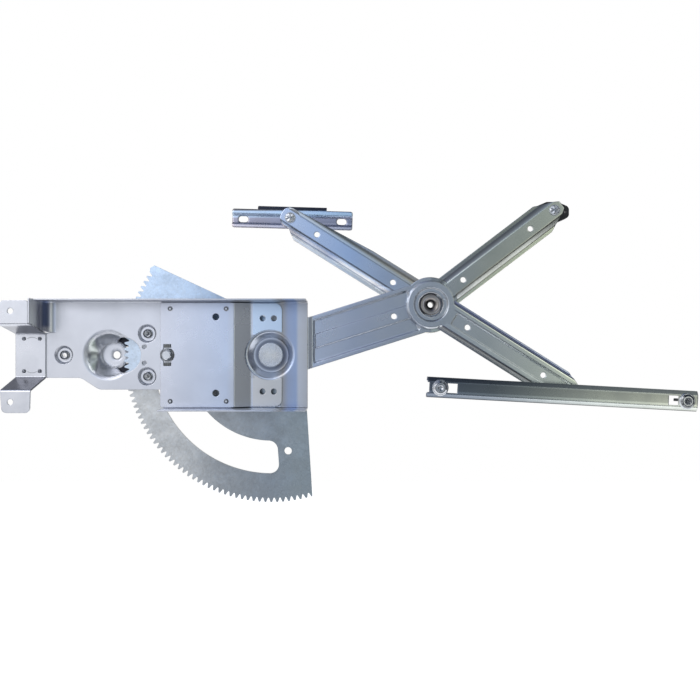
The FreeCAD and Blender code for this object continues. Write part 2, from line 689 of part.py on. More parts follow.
def pivot_panel():
    """Reinforcement with a stepped end: two ears straddle the pivot dish."""
    bend_end = PANEL_BEND + PANEL_SLOPE_RUN
    path = [(PANEL_RIGHT, EAR_FRONT), (bend_end, EAR_FRONT), (PANEL_BEND, -PANEL_SHEET),
            (PANEL_LEFT, -PANEL_SHEET)]
    panel = bent_along_z(path, PANEL_SHEET, BEND_RADIUS, -PANEL_HALF_HEIGHT, PANEL_HALF_HEIGHT)
    outline = [
        (PANEL_LEFT, -PANEL_HALF_HEIGHT, PANEL_CORNER_RADIUS),
        (PANEL_RIGHT, -PANEL_HALF_HEIGHT, EAR_CORNER_RADIUS),
        (PANEL_RIGHT, -EAR_INNER_EDGE, PLATE_CORNER_RADIUS), (PIVOT_X, -EAR_INNER_EDGE, 0),
        (PIVOT_X, EAR_INNER_EDGE, 0), (PANEL_RIGHT, EAR_INNER_EDGE, PLATE_CORNER_RADIUS),
        (PANEL_RIGHT, PANEL_HALF_HEIGHT, EAR_CORNER_RADIUS),
        (PANEL_LEFT, PANEL_HALF_HEIGHT, PANEL_CORNER_RADIUS),
    ]
    panel = panel.common(outline_prism(outline, -PANEL_SHEET - 1, LOWER_LEVEL + 1))
    notch_left, notch_right = STOP_X - STOP_NOTCH_WIDTH / 2, STOP_X + STOP_NOTCH_WIDTH / 2
    holes = [(PIVOT_X, 0, PIVOT_RIM_RADIUS + PANEL_DISH_GAP), (STOP_X, 0, STOP_HOLE_RADIUS)]
    holes += [(x, z, SMALL_RIVET_RADIUS) for x, z in panel_rivet_places()]
    panel = holed(panel, holes + door_fixing_holes(), -PANEL_SHEET - 1, LOWER_LEVEL + 1)
    return merged(panel.cut(plate_box(notch_left, notch_right, -PANEL_SHEET - 1, 1,
                                         -STOP_NOTCH_HEIGHT, STOP_NOTCH_HEIGHT)))


def door_bracket():
    """Hat-shaped bracket: a middle plate on the tongue and two tabs held forward of it."""
    left = DOOR_HOLE_X - TAB_HOLE_FROM_EDGE
    wall = BASE_LEFT - BASE_SHEET
    right = BASE_LEFT + DOOR_SHEET
    path = [(UPPER_TAB_TOP, -TAB_FRONT), (UPPER_TAB_BOTTOM, -TAB_FRONT), (MIDDLE_TOP, -DOOR_SHEET),
            (MIDDLE_BOTTOM, -DOOR_SHEET), (LOWER_TAB_TOP, -TAB_FRONT), (LOWER_TAB_BOTTOM, -TAB_FRONT)]
    hat = bent_along_x(path, DOOR_SHEET, BEND_RADIUS, left, right)
    outline = [
        (left + LOWER_TAB_SHIFT, LOWER_TAB_BOTTOM, TAB_CORNER_RADIUS),
        (right - LOWER_TAB_TAPER, LOWER_TAB_BOTTOM, TAB_CORNER_RADIUS), (right, MIDDLE_BOTTOM, 0),
        (right, UPPER_TAB_BOTTOM, 0), (wall, UPPER_TAB_BOTTOM + DOOR_SHEET, 0),
        (wall, UPPER_TAB_TOP, TAB_WALL_CORNER_RADIUS), (left, UPPER_TAB_TOP, TAB_CORNER_RADIUS),
        (left, MIDDLE_BOTTOM, 0),
    ]
    hat = hat.common(outline_prism(outline, -TAB_FRONT - 1, 1))
    holes = [(DOOR_HOLE_X, DOOR_HOLE_CENTRE_Z + side * DOOR_HOLE_SPACING / 2, DOOR_HOLE_RADIUS)
             for side in (1, -1)]
    holes += [(x, z, SMALL_RIVET_RADIUS) for x, z in clinch_places()]
    return merged(holed(hat, holes, -TAB_FRONT - 1, 1))


def small_rivet(x, z, front, back):
    """Rivet through two sheets: a low head in front and a set head behind."""
    head_radius = (SMALL_RIVET_RADIUS + SMALL_RIVET_HEAD_RADIUS) / 2
    low = SMALL_RIVET_HEAD_HEIGHT / 2
    rivet = cylinder(x, z, SMALL_RIVET_RADIUS, front, back)
    rivet = rivet.fuse(cone(x, z, SMALL_RIVET_RADIUS, head_radius, front - low, front))
    set_head = cone(x, z, SMALL_RIVET_HEAD_RADIUS, SMALL_RIVET_RADIUS, back, back + SMALL_RIVET_HEAD_HEIGHT)
    return merged(rivet.fuse(set_head))


def motor_nut(x, z):
    """Weld nut in a motor fixing cup: a countersunk pilot through the hole and a hexagon behind."""
    sheet_back = CUP_DEPTH + BASE_SHEET
    corners = [V(x, sheet_back, z) + heading(60 * turn) * NUT_HEX_RADIUS for turn in range(7)]
    hexagon = Part.Face(Part.makePolygon(corners)).extrude(V(0, NUT_HEX_HEIGHT, 0))
    front = CUP_DEPTH - NUT_RISE
    nut = hexagon.fuse(cylinder(x, z, NUT_RADIUS, front, sheet_back))
    nut = nut.cut(cone(x, z, NUT_SINK_RADIUS, NUT_THREAD_RADIUS, front, CUP_DEPTH))
    return merged(nut.cut(cylinder(x, z, NUT_THREAD_RADIUS, 0, sheet_back + NUT_HEX_HEIGHT + 1)))


def bumper_back():
    return LIFT_ROOT + BUMPER_OVERRUN


def stop_stud():
    """Stud keyed in the panel's notched hole: its bumper meets the ends of the sector slot."""
    back = bumper_back()
    chamfer_end = STOP_HEAD_CHAMFER - STOP_HEAD_HEIGHT
    stud = cone(STOP_X, 0, STOP_HEAD_RADIUS - STOP_HEAD_CHAMFER, STOP_HEAD_RADIUS, -STOP_HEAD_HEIGHT,
                chamfer_end)
    stud = stud.fuse(cylinder(STOP_X, 0, STOP_HEAD_RADIUS, chamfer_end, 0))
    stud = stud.fuse(cylinder(STOP_X, 0, STOP_HOLE_RADIUS - FIT_GAP, -STOP_KEY_THICKNESS, 0))
    half_width = STOP_NOTCH_WIDTH / 2 - FIT_GAP
    reach = STOP_NOTCH_HEIGHT - FIT_GAP
    stud = stud.fuse(plate_box(STOP_X - half_width, STOP_X + half_width, -STOP_KEY_THICKNESS, 0,
                               -reach, reach))
    stud = stud.fuse(cylinder(STOP_X, 0, STOP_SHANK_RADIUS, 0, back))
    return merged(stud.fuse(cylinder(STOP_X, 0, BUMPER_RADIUS, back, back + STOP_FLANGE_HEIGHT)))


def stop_bumper():
    return ring(STOP_X, 0, BUMPER_RADIUS, STOP_SHANK_RADIUS, BASE_SHEET, bumper_back())


def main_pivot_pin():
    """Shouldered rivet in the pivot dish: broad head in front, set tail behind the lift arm."""
    tail = LIFT_ROOT + ARM_SHEET + RUNNING_GAP
    head = PIVOT_FLOOR - PIN_HEAD_HEIGHT
    edge = PIN_HEAD_RADIUS - PIN_HEAD_CHAMFER
    pin = cone(PIVOT_X, 0, edge, PIN_HEAD_RADIUS, head, head + PIN_HEAD_CHAMFER)
    pin = pin.fuse(cylinder(PIVOT_X, 0, PIN_HEAD_RADIUS, head + PIN_HEAD_CHAMFER, PIVOT_FLOOR))
    pin = pin.fuse(cylinder(PIVOT_X, 0, PIN_RADIUS, PIVOT_FLOOR, tail))
    return merged(pin.fuse(cone(PIVOT_X, 0, PIN_TAIL_RADIUS, PIN_RADIUS, tail, tail + PIN_TAIL_HEIGHT)))


def pivot_washer():
    return ring(PIVOT_X, 0, WASHER_RADIUS, PIN_RADIUS, WASHER_FRONT, WASHER_FRONT + WASHER_THICKNESS)


def pivot_bush():
    bore = PIN_RADIUS + BORE_CLEARANCE
    return ring(PIVOT_X, 0, BUSH_RADIUS, bore, SECTOR_FRONT, LIFT_ROOT + ARM_SHEET)


def polar(radius, angle, y):
    """A point about the main pivot."""
    point = PIVOT + heading(angle) * radius
    return V(point.x, y, point.z)


def line(first, last):
    return Part.LineSegment(first, last).toShape()


def sector_outline(y):
    """Hub arc, two straight edges that leave it at a tangent, and the toothed rim between lugs."""
    pitch = 360 / SECTOR_TEETH_IN_FULL_CIRCLE
    tip = SECTOR_PITCH_RADIUS + TOOTH_ADDENDUM * TOOTH_MODULE
    root = SECTOR_PITCH_RADIUS - TOOTH_DEDENDUM * TOOTH_MODULE
    slope = math.tan(math.radians(PRESSURE_ANGLE))
    half_thickness = math.pi * TOOTH_MODULE / 4
    tip_half = math.degrees((half_thickness - TOOTH_ADDENDUM * TOOTH_MODULE * slope) / tip)
    root_half = math.degrees((half_thickness + TOOTH_DEDENDUM * TOOTH_MODULE * slope) / root)
    reach = math.sqrt(tip ** 2 - SECTOR_HUB_RADIUS ** 2)
    upper_foot = SECTOR_UPPER_EDGE_ANGLE - 90
    lower_foot = SECTOR_LOWER_EDGE_ANGLE + 90
    upper_start = polar(SECTOR_HUB_RADIUS, upper_foot, y)
    lower_start = polar(SECTOR_HUB_RADIUS, lower_foot, y)
    upper_end = upper_start + heading(SECTOR_UPPER_EDGE_ANGLE) * reach
    lower_end = lower_start + heading(SECTOR_LOWER_EDGE_ANGLE) * reach
    lug_angle = FIRST_TOOTH_ANGLE - pitch
    lug_corner = polar(tip + LUG_HEIGHT, lug_angle - pitch / 2, y)
    here = polar(tip, lug_angle + tip_half, y)
    edges = [line(upper_start, upper_end), line(upper_end, lug_corner), line(lug_corner, here)]
    for number in range(TOOTH_COUNT + 1):
        angle = FIRST_TOOTH_ANGLE + pitch * number
        before = polar(root, angle - pitch + root_half, y)
        sag = polar(root - TOOTH_ROOT_SAG, angle - pitch / 2, y)
        after = polar(root, angle - root_half, y)
        rise = polar(tip, angle - tip_half, y)
        edges += [line(here, before), Part.Arc(before, sag, after).toShape(), line(after, rise)]
        if number < TOOTH_COUNT:
            here = polar(tip, angle + tip_half, y)
            edges.append(line(rise, here))
    edges += [line(rise, lower_end), line(lower_end, lower_start)]
    hub_middle = polar(SECTOR_HUB_RADIUS, (lower_foot - 360 + upper_foot) / 2, y)
    edges.append(Part.Arc(lower_start, hub_middle, upper_start).toShape())
    return Part.Wire(edges)


def sector_slot():
    """Curved slot about the main pivot, with rounded corners."""
    front, back = SECTOR_FRONT - 1, SECTOR_FRONT + SECTOR_SHEET + 1
    middle = (SLOT_START_ANGLE + SLOT_END_ANGLE) / 2
    far = 2 * SLOT_OUTER_RADIUS
    points = [polar(0, 0, front), polar(far, SLOT_START_ANGLE, front), polar(far, middle, front),
              polar(far, SLOT_END_ANGLE, front), polar(0, 0, front)]
    wedge = Part.Face(Part.makePolygon(points)).extrude(V(0, back - front, 0))
    slot = ring(PIVOT_X, 0, SLOT_OUTER_RADIUS, SLOT_INNER_RADIUS, front, back).common(wedge)
    corners = [edge for edge in slot.Edges
               if edge.BoundBox.YLength > 1 and edge.BoundBox.DiagonalLength - edge.BoundBox.YLength < 0.01]
    return slot.makeFillet(SLOT_CORNER_RADIUS, corners)


def sector_rivet(index):
    """Rivet of the sector: flush in the gear, with a set head behind the lift arm."""
    place = polar(SECTOR_RIVET_CIRCLE, LIFT_ANGLE + 45 + 90 * index, 0)
    back = LIFT_ROOT + ARM_SHEET
    rivet = cylinder(place.x, place.z, SECTOR_RIVET_RADIUS, SECTOR_FRONT, back)
    sink = cone(place.x, place.z, SECTOR_RIVET_HEAD_RADIUS, SECTOR_RIVET_RADIUS, SECTOR_FRONT,
                SECTOR_FRONT + SECTOR_RIVET_HEAD_HEIGHT)
    head = cone(place.x, place.z, SECTOR_RIVET_HEAD_RADIUS, SECTOR_RIVET_RADIUS, back,
                back + SECTOR_RIVET_HEAD_HEIGHT)
    return merged(rivet.fuse(sink).fuse(head))


def sector_rivets():
    return [sector_rivet(index) for index in range(4)]


def sector_gear():
    """Toothed sector, blanked from thick sheet."""
    gear = Part.Face(sector_outline(SECTOR_FRONT)).extrude(V(0, SECTOR_SHEET, 0))
    gear = gear.cut(sector_slot())
    holes = [(PIVOT_X, 0, BUSH_RADIUS), (PIVOT_X + SECTOR_HOLE_DX, SECTOR_HOLE_Z, SECTOR_HOLE_RADIUS)]
    gear = holed(gear, holes, SECTOR_FRONT - 1, LIFT_ROOT + 1)
    for rivet in sector_rivets():
        gear = gear.cut(rivet)
    return merged(gear)


def hat_arm(path, start, outline, y_range):
    """A hat section along local +X, trimmed to the arm's outline."""
    end = max(corner[0] for corner in outline) + 1
    hat = bent_along_x(path, ARM_SHEET, ARM_BEND_RADIUS, start, end)
    return hat.common(outline_prism(outline, y_range[0] - 1, y_range[1] + 1))


def hat_path(web_half, flank_half, lip_half, y):
    """Front face of a hat section whose web stands nearest the viewer."""
    return [(lip_half, y + HAT_DEPTH), (flank_half, y + HAT_DEPTH), (web_half, y), (-web_half, y),
            (-flank_half, y + HAT_DEPTH), (-lip_half, y + HAT_DEPTH)]


def tip_outline(start, length, lip_half, web_half):
    """Arm seen from the front: parallel lips, then two chamfers on each side towards the tip."""
    upper = [
        (length + TIP_OVERHANG, TIP_HALF_WIDTH, TIP_CORNER_RADIUS),
        (length + TIP_CHAMFER_END, web_half, TIP_CORNER_RADIUS),
        (length - TIP_CHAMFER_START, lip_half, TIP_CORNER_RADIUS), (start, lip_half, 0),
    ]
    lower = [(x, -z, radius) for x, z, radius in upper[::-1]]
    return lower + upper


def lift_arm():
    """Lift arm: root plate, tray section up to the hub, and a hat section beyond it.

    At rest the joggle and the tray's near end run upright, along the base plate's end."""
    path = [(ARM_LENGTH, LIFT_RIM), (LIFT_JOGGLE_END, LIFT_RIM), (LIFT_JOGGLE_START, LIFT_ROOT),
            (0, LIFT_ROOT)]
    arm = bent_along_z(path, ARM_SHEET, ARM_BEND_RADIUS, -LIFT_HALF_WIDTH, LIFT_HALF_WIDTH, LIFT_LEAN)
    arm = arm.fuse(cylinder(0, 0, LIFT_ROOT_RADIUS, LIFT_ROOT, LIFT_ROOT + ARM_SHEET))
    arm = arm.fuse(cylinder(ARM_LENGTH, 0, HUB_PLATE_RADIUS, LIFT_RIM, LIFT_RIM + ARM_SHEET))
    tray_end = ARM_LENGTH - LIFT_TRAY_END_FROM_HUB
    for side in (1, -1):
        outer = side * LIFT_HALF_WIDTH
        inner = side * (LIFT_HALF_WIDTH - ARM_SHEET)
        low, high = min(inner, outer), max(inner, outer)
        start = LIFT_TRAY_START + LIFT_LEAN * outer
        arm = arm.fuse(plate_box(start, tray_end, LIFT_RIM, LIFT_RIM + LIFT_FLANGE_DEPTH, low, high))
    tray_half = LIFT_HALF_WIDTH - LIFT_RIM_WIDTH
    mouth = leaning_rectangle(LIFT_TRAY_START, tray_end, tray_half, LIFT_LEAN, TRAY_CORNER_RADIUS)
    arm = pressed(arm, mouth, LIFT_RIM, LIFT_TRAY_RUN, LIFT_TRAY_DEPTH, ARM_SHEET)
    inset = LIFT_TRAY_RUN + BEAD_END_GAP
    bead = leaning_rectangle(LIFT_TRAY_START + inset, tray_end - inset, LIFT_BEAD_HALF_WIDTH, LIFT_LEAN,
                             BEAD_CORNER_RADIUS)
    arm = raised(arm, bead, LIFT_WEB, BEAD_RUN, LIFT_BEAD_HEIGHT, ARM_SHEET)
    arm = holed(arm, [(ARM_LENGTH - LIFT_HOLE_FROM_HUB, 0, ARM_HOLE_RADIUS)], 0, LIFT_BACK)
    arm = placed(arm, PIVOT, LIFT_ANGLE)
    start = math.sqrt(HUB_PLATE_RADIUS ** 2 - LIP_HALF_WIDTH ** 2)
    outline = tip_outline(start, LIFT_TIP_LENGTH, LIP_HALF_WIDTH, WEB_HALF_WIDTH)
    path = hat_path(WEB_HALF_WIDTH, HAT_HALF_WIDTH, LIP_HALF_WIDTH, LIFT_RIM)
    tip = hat_arm(path, start, outline, (LIFT_RIM, LIFT_BACK))
    holes = [(x, 0, ARM_HOLE_RADIUS) for x in LIFT_TIP_HOLES] + [(LIFT_TIP_LENGTH, 0, STUD_RIVET_RADIUS)]
    tip = holed(tip, holes, 0, LIFT_BACK + 1)
    arm = arm.fuse(placed(tip, HUB, LIFT_TIP_ANGLE))
    bores = [(HUB.x, HUB.z, SCISSOR_SHANK_RADIUS + BORE_CLEARANCE), (PIVOT_X, 0, BUSH_RADIUS)]
    arm = holed(arm, bores, 0, LIFT_BACK + 1)
    for rivet in sector_rivets():
        arm = arm.cut(rivet)
    return merged(arm)


def arm_on_hub(hub, hat, web_half, flank_run, web_front, hub_radius):
    """Join a hat arm to a turned hub whose rim is opened where the arm leaves it."""
    shift = mitre_shift(flank_run, HAT_DEPTH, ARM_SHEET)
    inside = web_half - shift
    back = web_front + ARM_SHEET
    points = [V(0, back, inside), V(0, back, -inside), V(0, back + HAT_DEPTH, -inside - flank_run),
              V(0, back + HAT_DEPTH, inside + flank_run), V(0, back, inside)]
    hollow = Part.Face(Part.makePolygon(points)).extrude(V(2 * hub_radius, 0, 0))
    hub_cut = cylinder(0, 0, hub_radius - HUB_OVERLAP, web_front - 1, back + HAT_DEPTH + 1)
    outside = hat.cut(hub_cut)
    return hub.cut(hollow).fuse(outside)


def equalizer_arm_front():
    """Front half: dished hub disc and an arm with a sunk web between two ribs."""
    disc_path = [
        (DISC_RADIUS + DISC_RIM_RUN, DISC_FRONT + HAT_DEPTH), (DISC_RADIUS, DISC_FRONT),
        (DISC_STEP_RADIUS, DISC_FRONT), (DISC_STEP_RADIUS - DISC_STEP_RUN, DISC_FRONT + DISC_STEP_DEPTH),
        (DISC_FLOOR_RADIUS, DISC_FRONT + DISC_STEP_DEPTH), (DISC_FLOOR_RADIUS - DISC_STEP_RUN, DISC_FLOOR),
        (SCISSOR_SHANK_RADIUS, DISC_FLOOR),
    ]
    hub = turned(disc_path, ARM_SHEET)
    path = [(FRONT_LIP_HALF_WIDTH, DISC_FRONT + HAT_DEPTH),
            (RIB_HALF_WIDTH + FRONT_FLANK_RUN, DISC_FRONT + HAT_DEPTH), (RIB_HALF_WIDTH, DISC_FRONT),
            (-RIB_HALF_WIDTH, DISC_FRONT), (-RIB_HALF_WIDTH - FRONT_FLANK_RUN, DISC_FRONT + HAT_DEPTH),
            (-FRONT_LIP_HALF_WIDTH, DISC_FRONT + HAT_DEPTH)]
    start = DISC_STEP_RADIUS
    outline = tip_outline(start, ARM_LENGTH, FRONT_LIP_HALF_WIDTH, WEB_HALF_WIDTH)
    back = DISC_FRONT + HAT_DEPTH + ARM_SHEET
    hat = hat_arm(path, start, outline, (DISC_FRONT, back))
    mouth = rectangle(POCKET_START, ARM_LENGTH + 2 * TIP_OVERHANG, -POCKET_HALF_WIDTH,
                      POCKET_HALF_WIDTH, POCKET_CORNER_RADIUS)
    hat = pressed(hat, mouth, DISC_FRONT, POCKET_RUN, POCKET_DEPTH, ARM_SHEET)
    hat = hat.common(outline_prism(outline, DISC_FRONT - 1, back + 1))
    arm = arm_on_hub(hub, hat, RIB_HALF_WIDTH, FRONT_FLANK_RUN, DISC_FRONT, DISC_RADIUS)
    holes = [(x, 0, ARM_HOLE_RADIUS) for x in FRONT_ARM_HOLES] + [(ARM_LENGTH, 0, STUD_RIVET_RADIUS)]
    arm = holed(arm, holes, 0, LIFT_RIM)
    return merged(placed(arm, HUB, -EQUALIZER_ANGLE))


def equalizer_arm_rear():
    """Rear half: hub with a boss pressed forward, and a tapered hat arm."""
    hub_path = [
        (REAR_HUB_RADIUS + REAR_HUB_RIM_RUN, REAR_WEB + REAR_HUB_RIM_DEPTH), (REAR_HUB_RADIUS, REAR_WEB),
        (REAR_BOSS_RADIUS + REAR_BOSS_RUN, REAR_WEB), (REAR_BOSS_RADIUS, REAR_BOSS),
        (SCISSOR_SHANK_RADIUS, REAR_BOSS),
    ]
    hub = turned(hub_path, ARM_SHEET)
    start = DISC_STEP_RADIUS
    outline = [
        (start, -REAR_LIP_HALF_WIDTH, 0), (REAR_TAPER_START, -REAR_TAPER_HALF_WIDTH, 0),
        (ARM_LENGTH + REAR_TIP_OVERHANG, -REAR_TIP_HALF_WIDTH, REAR_TIP_CORNER_RADIUS),
        (ARM_LENGTH + REAR_TIP_OVERHANG, REAR_TIP_HALF_WIDTH, REAR_TIP_CORNER_RADIUS),
        (ARM_LENGTH - TIP_CHAMFER_END, REAR_TIP_HALF_WIDTH, 0),
        (ARM_LENGTH - TIP_CHAMFER_START, REAR_LIP_HALF_WIDTH, 0), (start, REAR_LIP_HALF_WIDTH, 0),
    ]
    path = hat_path(REAR_WEB_HALF_WIDTH, REAR_HAT_HALF_WIDTH, REAR_LIP_HALF_WIDTH, REAR_WEB)
    hat = hat_arm(path, start, outline, (REAR_WEB, REAR_BACK))
    hat = hat.fuse(cylinder(ARM_LENGTH, 0, REAR_TIP_HALF_WIDTH, REAR_WEB, REAR_WEB + ARM_SHEET))
    flank_run = REAR_HAT_HALF_WIDTH - REAR_WEB_HALF_WIDTH
    arm = arm_on_hub(hub, hat, REAR_WEB_HALF_WIDTH, flank_run, REAR_WEB, REAR_HUB_RADIUS)
    holes = [(x, 0, ARM_HOLE_RADIUS) for x in REAR_ARM_HOLES] + [(ARM_LENGTH, 0, STUD_RIVET_RADIUS)]
    arm = holed(arm, holes, REAR_BOSS - 1, REAR_BACK + 1)
    return merged(placed(arm, HUB, 180 - EQUALIZER_ANGLE))


def scissor_rivet():
    """Hollow rivet: it ties the two equalizer halves together through the lift arm's hub."""
    front = DISC_FLOOR - SCISSOR_HEAD_HEIGHT
    rear = REAR_BOSS + ARM_SHEET
    edge = SCISSOR_HEAD_RADIUS - SCISSOR_HEAD_CHAMFER
    rivet = cone(HUB.x, HUB.z, edge, SCISSOR_HEAD_RADIUS, front, front + SCISSOR_HEAD_CHAMFER)
    rivet = rivet.fuse(cylinder(HUB.x, HUB.z, SCISSOR_HEAD_RADIUS, front + SCISSOR_HEAD_CHAMFER, DISC_FLOOR))
    rivet = rivet.fuse(cylinder(HUB.x, HUB.z, SCISSOR_SHANK_RADIUS, DISC_FLOOR, rear))
    rivet = rivet.fuse(cone(HUB.x, HUB.z, SCISSOR_HEAD_RADIUS, SCISSOR_SHANK_RADIUS, rear,
                            rear + SCISSOR_TAIL_HEIGHT))
    sink = cone(HUB.x, HUB.z, SCISSOR_SINK_RADIUS, SCISSOR_BORE_RADIUS, front, DISC_FLOOR)
    bore = cylinder(HUB.x, HUB.z, SCISSOR_BORE_RADIUS, 0, rear + SCISSOR_TAIL_HEIGHT + 1)
    return merged(rivet.cut(sink).cut(bore))


def hub_washers():
    """Wear washers between the lift arm's hub and each equalizer half."""
    fronts = (DISC_FLOOR + ARM_SHEET, REAR_BOSS - HUB_WASHER_THICKNESS)
    return [ring(HUB.x, HUB.z, HUB_WASHER_RADIUS, SCISSOR_SHANK_RADIUS, front, front + HUB_WASHER_THICKNESS)
            for front in fronts]


def shouldered_stud(point, sheet, bearing, collar_radius):
    """Stud riveted into a sheet, with a collar and a headed bearing shank; all ranges run outwards."""
    sheet_front, sheet_back = sheet
    bearing_start, bearing_end = bearing
    sense = 1 if bearing_start > sheet_back else -1
    gap = sense * RUNNING_GAP
    spans = [
        (STUD_FACE_RADIUS, sheet_front - sense * STUD_FACE_HEIGHT, sheet_front),
        (STUD_RIVET_RADIUS, sheet_front, sheet_back),
        (collar_radius, sheet_back, bearing_start - gap),
        (STUD_RADIUS, bearing_start - gap, bearing_end + gap),
        (STUD_HEAD_RADIUS, bearing_end + gap, bearing_end + gap + sense * STUD_HEAD_HEIGHT),
    ]
    pieces = [cylinder(point.x, point.z, radius, min(a, b), max(a, b)) for radius, a, b in spans]
    stud = pieces[0]
    for piece in pieces[1:]:
        stud = stud.fuse(piece)
    return merged(stud)


def hat_collar_radius(web_half, flank_half):
    """Radius of a stud collar that clears the inside of a hat section."""
    return web_half - mitre_shift(flank_half - web_half, HAT_DEPTH, ARM_SHEET) - FIT_GAP


def lift_stud():
    sheet = (LIFT_RIM, LIFT_RIM + ARM_SHEET)
    collar_radius = hat_collar_radius(WEB_HALF_WIDTH, HAT_HALF_WIDTH)
    return shouldered_stud(LIFT_TIP, sheet, (SHOE_FRONT, SHOE_FRONT + SHOE_THICKNESS), collar_radius)


def bracket_stud():
    sheet = (REAR_WEB, REAR_WEB + ARM_SHEET)
    back = GLASS_PAD_FRONT + GLASS_SHEET + GLASS_BUSH_FLANGE
    collar_radius = hat_collar_radius(REAR_WEB_HALF_WIDTH, REAR_HAT_HALF_WIDTH)
    return shouldered_stud(GLASS_PIVOT, sheet, (GLASS_PAD_FRONT, back), collar_radius)


def rail_shoe_span():
    """Front and back of the shoe: the stud head clears the bevel inside, and the shoe the lips."""
    run = RAIL_HEIGHT / 2 - RAIL_FACE_HALF_HEIGHT
    bevel = RAIL_SHEET * math.hypot(run, RAIL_BEVEL_DEPTH) / run
    bevel += (STUD_HEAD_RADIUS - RAIL_FACE_HALF_HEIGHT) * RAIL_BEVEL_DEPTH / run
    front = RAIL_FRONT + bevel + 2 * RUNNING_GAP + STUD_HEAD_HEIGHT
    return front, RAIL_BACK - RAIL_SHEET - RUNNING_GAP


def rail_stud():
    """Stud of the guide rail: its collar stops behind the rail and its shank passes the slot."""
    shoe_front = rail_shoe_span()[0]
    collar_radius = POCKET_HALF_WIDTH - POCKET_RUN - FIT_GAP
    sheet = (POCKET_WEB + ARM_SHEET, POCKET_WEB)
    return shouldered_stud(RAIL_PIVOT, sheet, (RAIL_BACK, shoe_front), collar_radius)


def lift_shoe():
    """Slider of the glass channel, turning on the lift arm's stud."""
    half = SHOE_LENGTH / 2
    corner = [(half, SHOE_NOSE_HALF_HEIGHT, SHOE_NOSE_RADIUS),
              (SHOE_SHOULDER, SHOE_HALF_HEIGHT, SHOE_SHOULDER)]
    left = [(-x, z, radius) for x, z, radius in corner[::-1]]
    upper = corner + left
    lower = [(x, -z, radius) for x, z, radius in upper[::-1]]
    shoe = outline_prism(upper + lower, SHOE_FRONT, SHOE_FRONT + SHOE_THICKNESS)
    holes = [(side * SHOE_NOSE_HOLE_X, 0, SHOE_NOSE_HOLE_RADIUS) for side in (1, -1)]
    holes.append((0, 0, STUD_RADIUS + BORE_CLEARANCE))
    shoe = holed(shoe, holes, SHOE_FRONT - 1, SHOE_FRONT + SHOE_THICKNESS + 1)
    return merged(placed(shoe, LIFT_TIP, 0))


def rail_shoe():
    """Slider inside the guide rail."""
    front, back = rail_shoe_span()
    half = RAIL_SHOE_LENGTH / 2
    half_height = RAIL_HEIGHT / 2 - RAIL_SHEET - RUNNING_GAP
    outline = rectangle(-half, half, -half_height, half_height, RAIL_SHOE_CORNER_RADIUS)
    shoe = outline_prism(outline, front, back)
    shoe = holed(shoe, [(0, 0, STUD_RADIUS + BORE_CLEARANCE)], front - 1, back + 1)
    return merged(placed(shoe, RAIL_PIVOT, -RAIL_TILT))


def glass_bracket():
    """Bracket that carries the glass: troughed strip with a top lip, two slots and a pivot pad."""
    left, right = -GLASS_LEFT_OF_PIVOT, GLASS_LENGTH - GLASS_LEFT_OF_PIVOT
    back = GLASS_PAD_FRONT
    path = [(GLASS_TOP, GLASS_FRONT), (GLASS_UPPER_BAND, GLASS_FRONT),
            (GLASS_UPPER_BAND - GLASS_TROUGH_RUN, back), (GLASS_LOWER_BAND + GLASS_TROUGH_RUN, back),
            (GLASS_LOWER_BAND, GLASS_FRONT), (GLASS_BOTTOM, GLASS_FRONT)]
    strip = bent_along_x(path, GLASS_SHEET, GLASS_BEND_RADIUS, left, right)
    corners = rectangle(left, right, GLASS_BOTTOM, GLASS_TOP, GLASS_CORNER_RADIUS)
    strip = strip.common(outline_prism(corners, GLASS_FRONT - 1, back + GLASS_SHEET + 1))
    lip_path = [(GLASS_TOP + GLASS_LIP_RISE, GLASS_FRONT + GLASS_LIP_RUN), (GLASS_TOP, GLASS_FRONT),
                (GLASS_UPPER_BAND + GLASS_TROUGH_RUN, GLASS_FRONT)]
    lip_left = left + GLASS_LIP_START
    lip = bent_along_x(lip_path, GLASS_SHEET, GLASS_BEND_RADIUS, lip_left, lip_left + GLASS_LIP_LENGTH)
    strip = strip.fuse(lip).fuse(cylinder(0, 0, GLASS_PAD_RADIUS, GLASS_FRONT, back + GLASS_SHEET))
    strip = strip.cut(cylinder(0, 0, GLASS_PAD_RADIUS - GLASS_SHEET, GLASS_FRONT - 1, back))
    slot_x = left + GLASS_SLOT_FROM_END
    for centre in (slot_x, slot_x + GLASS_SLOT_SPACING):
        half = GLASS_SLOT_LENGTH / 2
        radius = GLASS_SLOT_WIDTH / 2
        slot = rectangle(centre - half, centre + half, GLASS_SLOT_Z - radius, GLASS_SLOT_Z + radius, radius)
        strip = strip.cut(outline_prism(slot, GLASS_FRONT - 1, back + GLASS_SHEET + 1))
    strip = holed(strip, [(0, 0, GLASS_BUSH_RADIUS)], GLASS_FRONT, back + GLASS_SHEET + 1)
    return merged(placed(strip, GLASS_PIVOT, GLASS_TILT))


def glass_bush():
    """Flanged bush in the bracket's pad."""
    bore = STUD_RADIUS + BORE_CLEARANCE
    sheet_back = GLASS_PAD_FRONT + GLASS_SHEET
    flange_back = sheet_back + GLASS_BUSH_FLANGE
    sleeve = cylinder(GLASS_PIVOT.x, GLASS_PIVOT.z, GLASS_BUSH_RADIUS, GLASS_PAD_FRONT, sheet_back)
    flange = cylinder(GLASS_PIVOT.x, GLASS_PIVOT.z, GLASS_BUSH_FLANGE_RADIUS, sheet_back, flange_back)
    return merged(holed(sleeve.fuse(flange), [(GLASS_PIVOT.x, GLASS_PIVOT.z, bore)], 0, flange_back + 1))


def rail_nut_places():
    """Local X of the two rail nuts."""
    left = -RAIL_LEFT_OF_SHOE
    return left + RAIL_NUT_FROM_END[0], left + RAIL_LENGTH - RAIL_NUT_FROM_END[1]


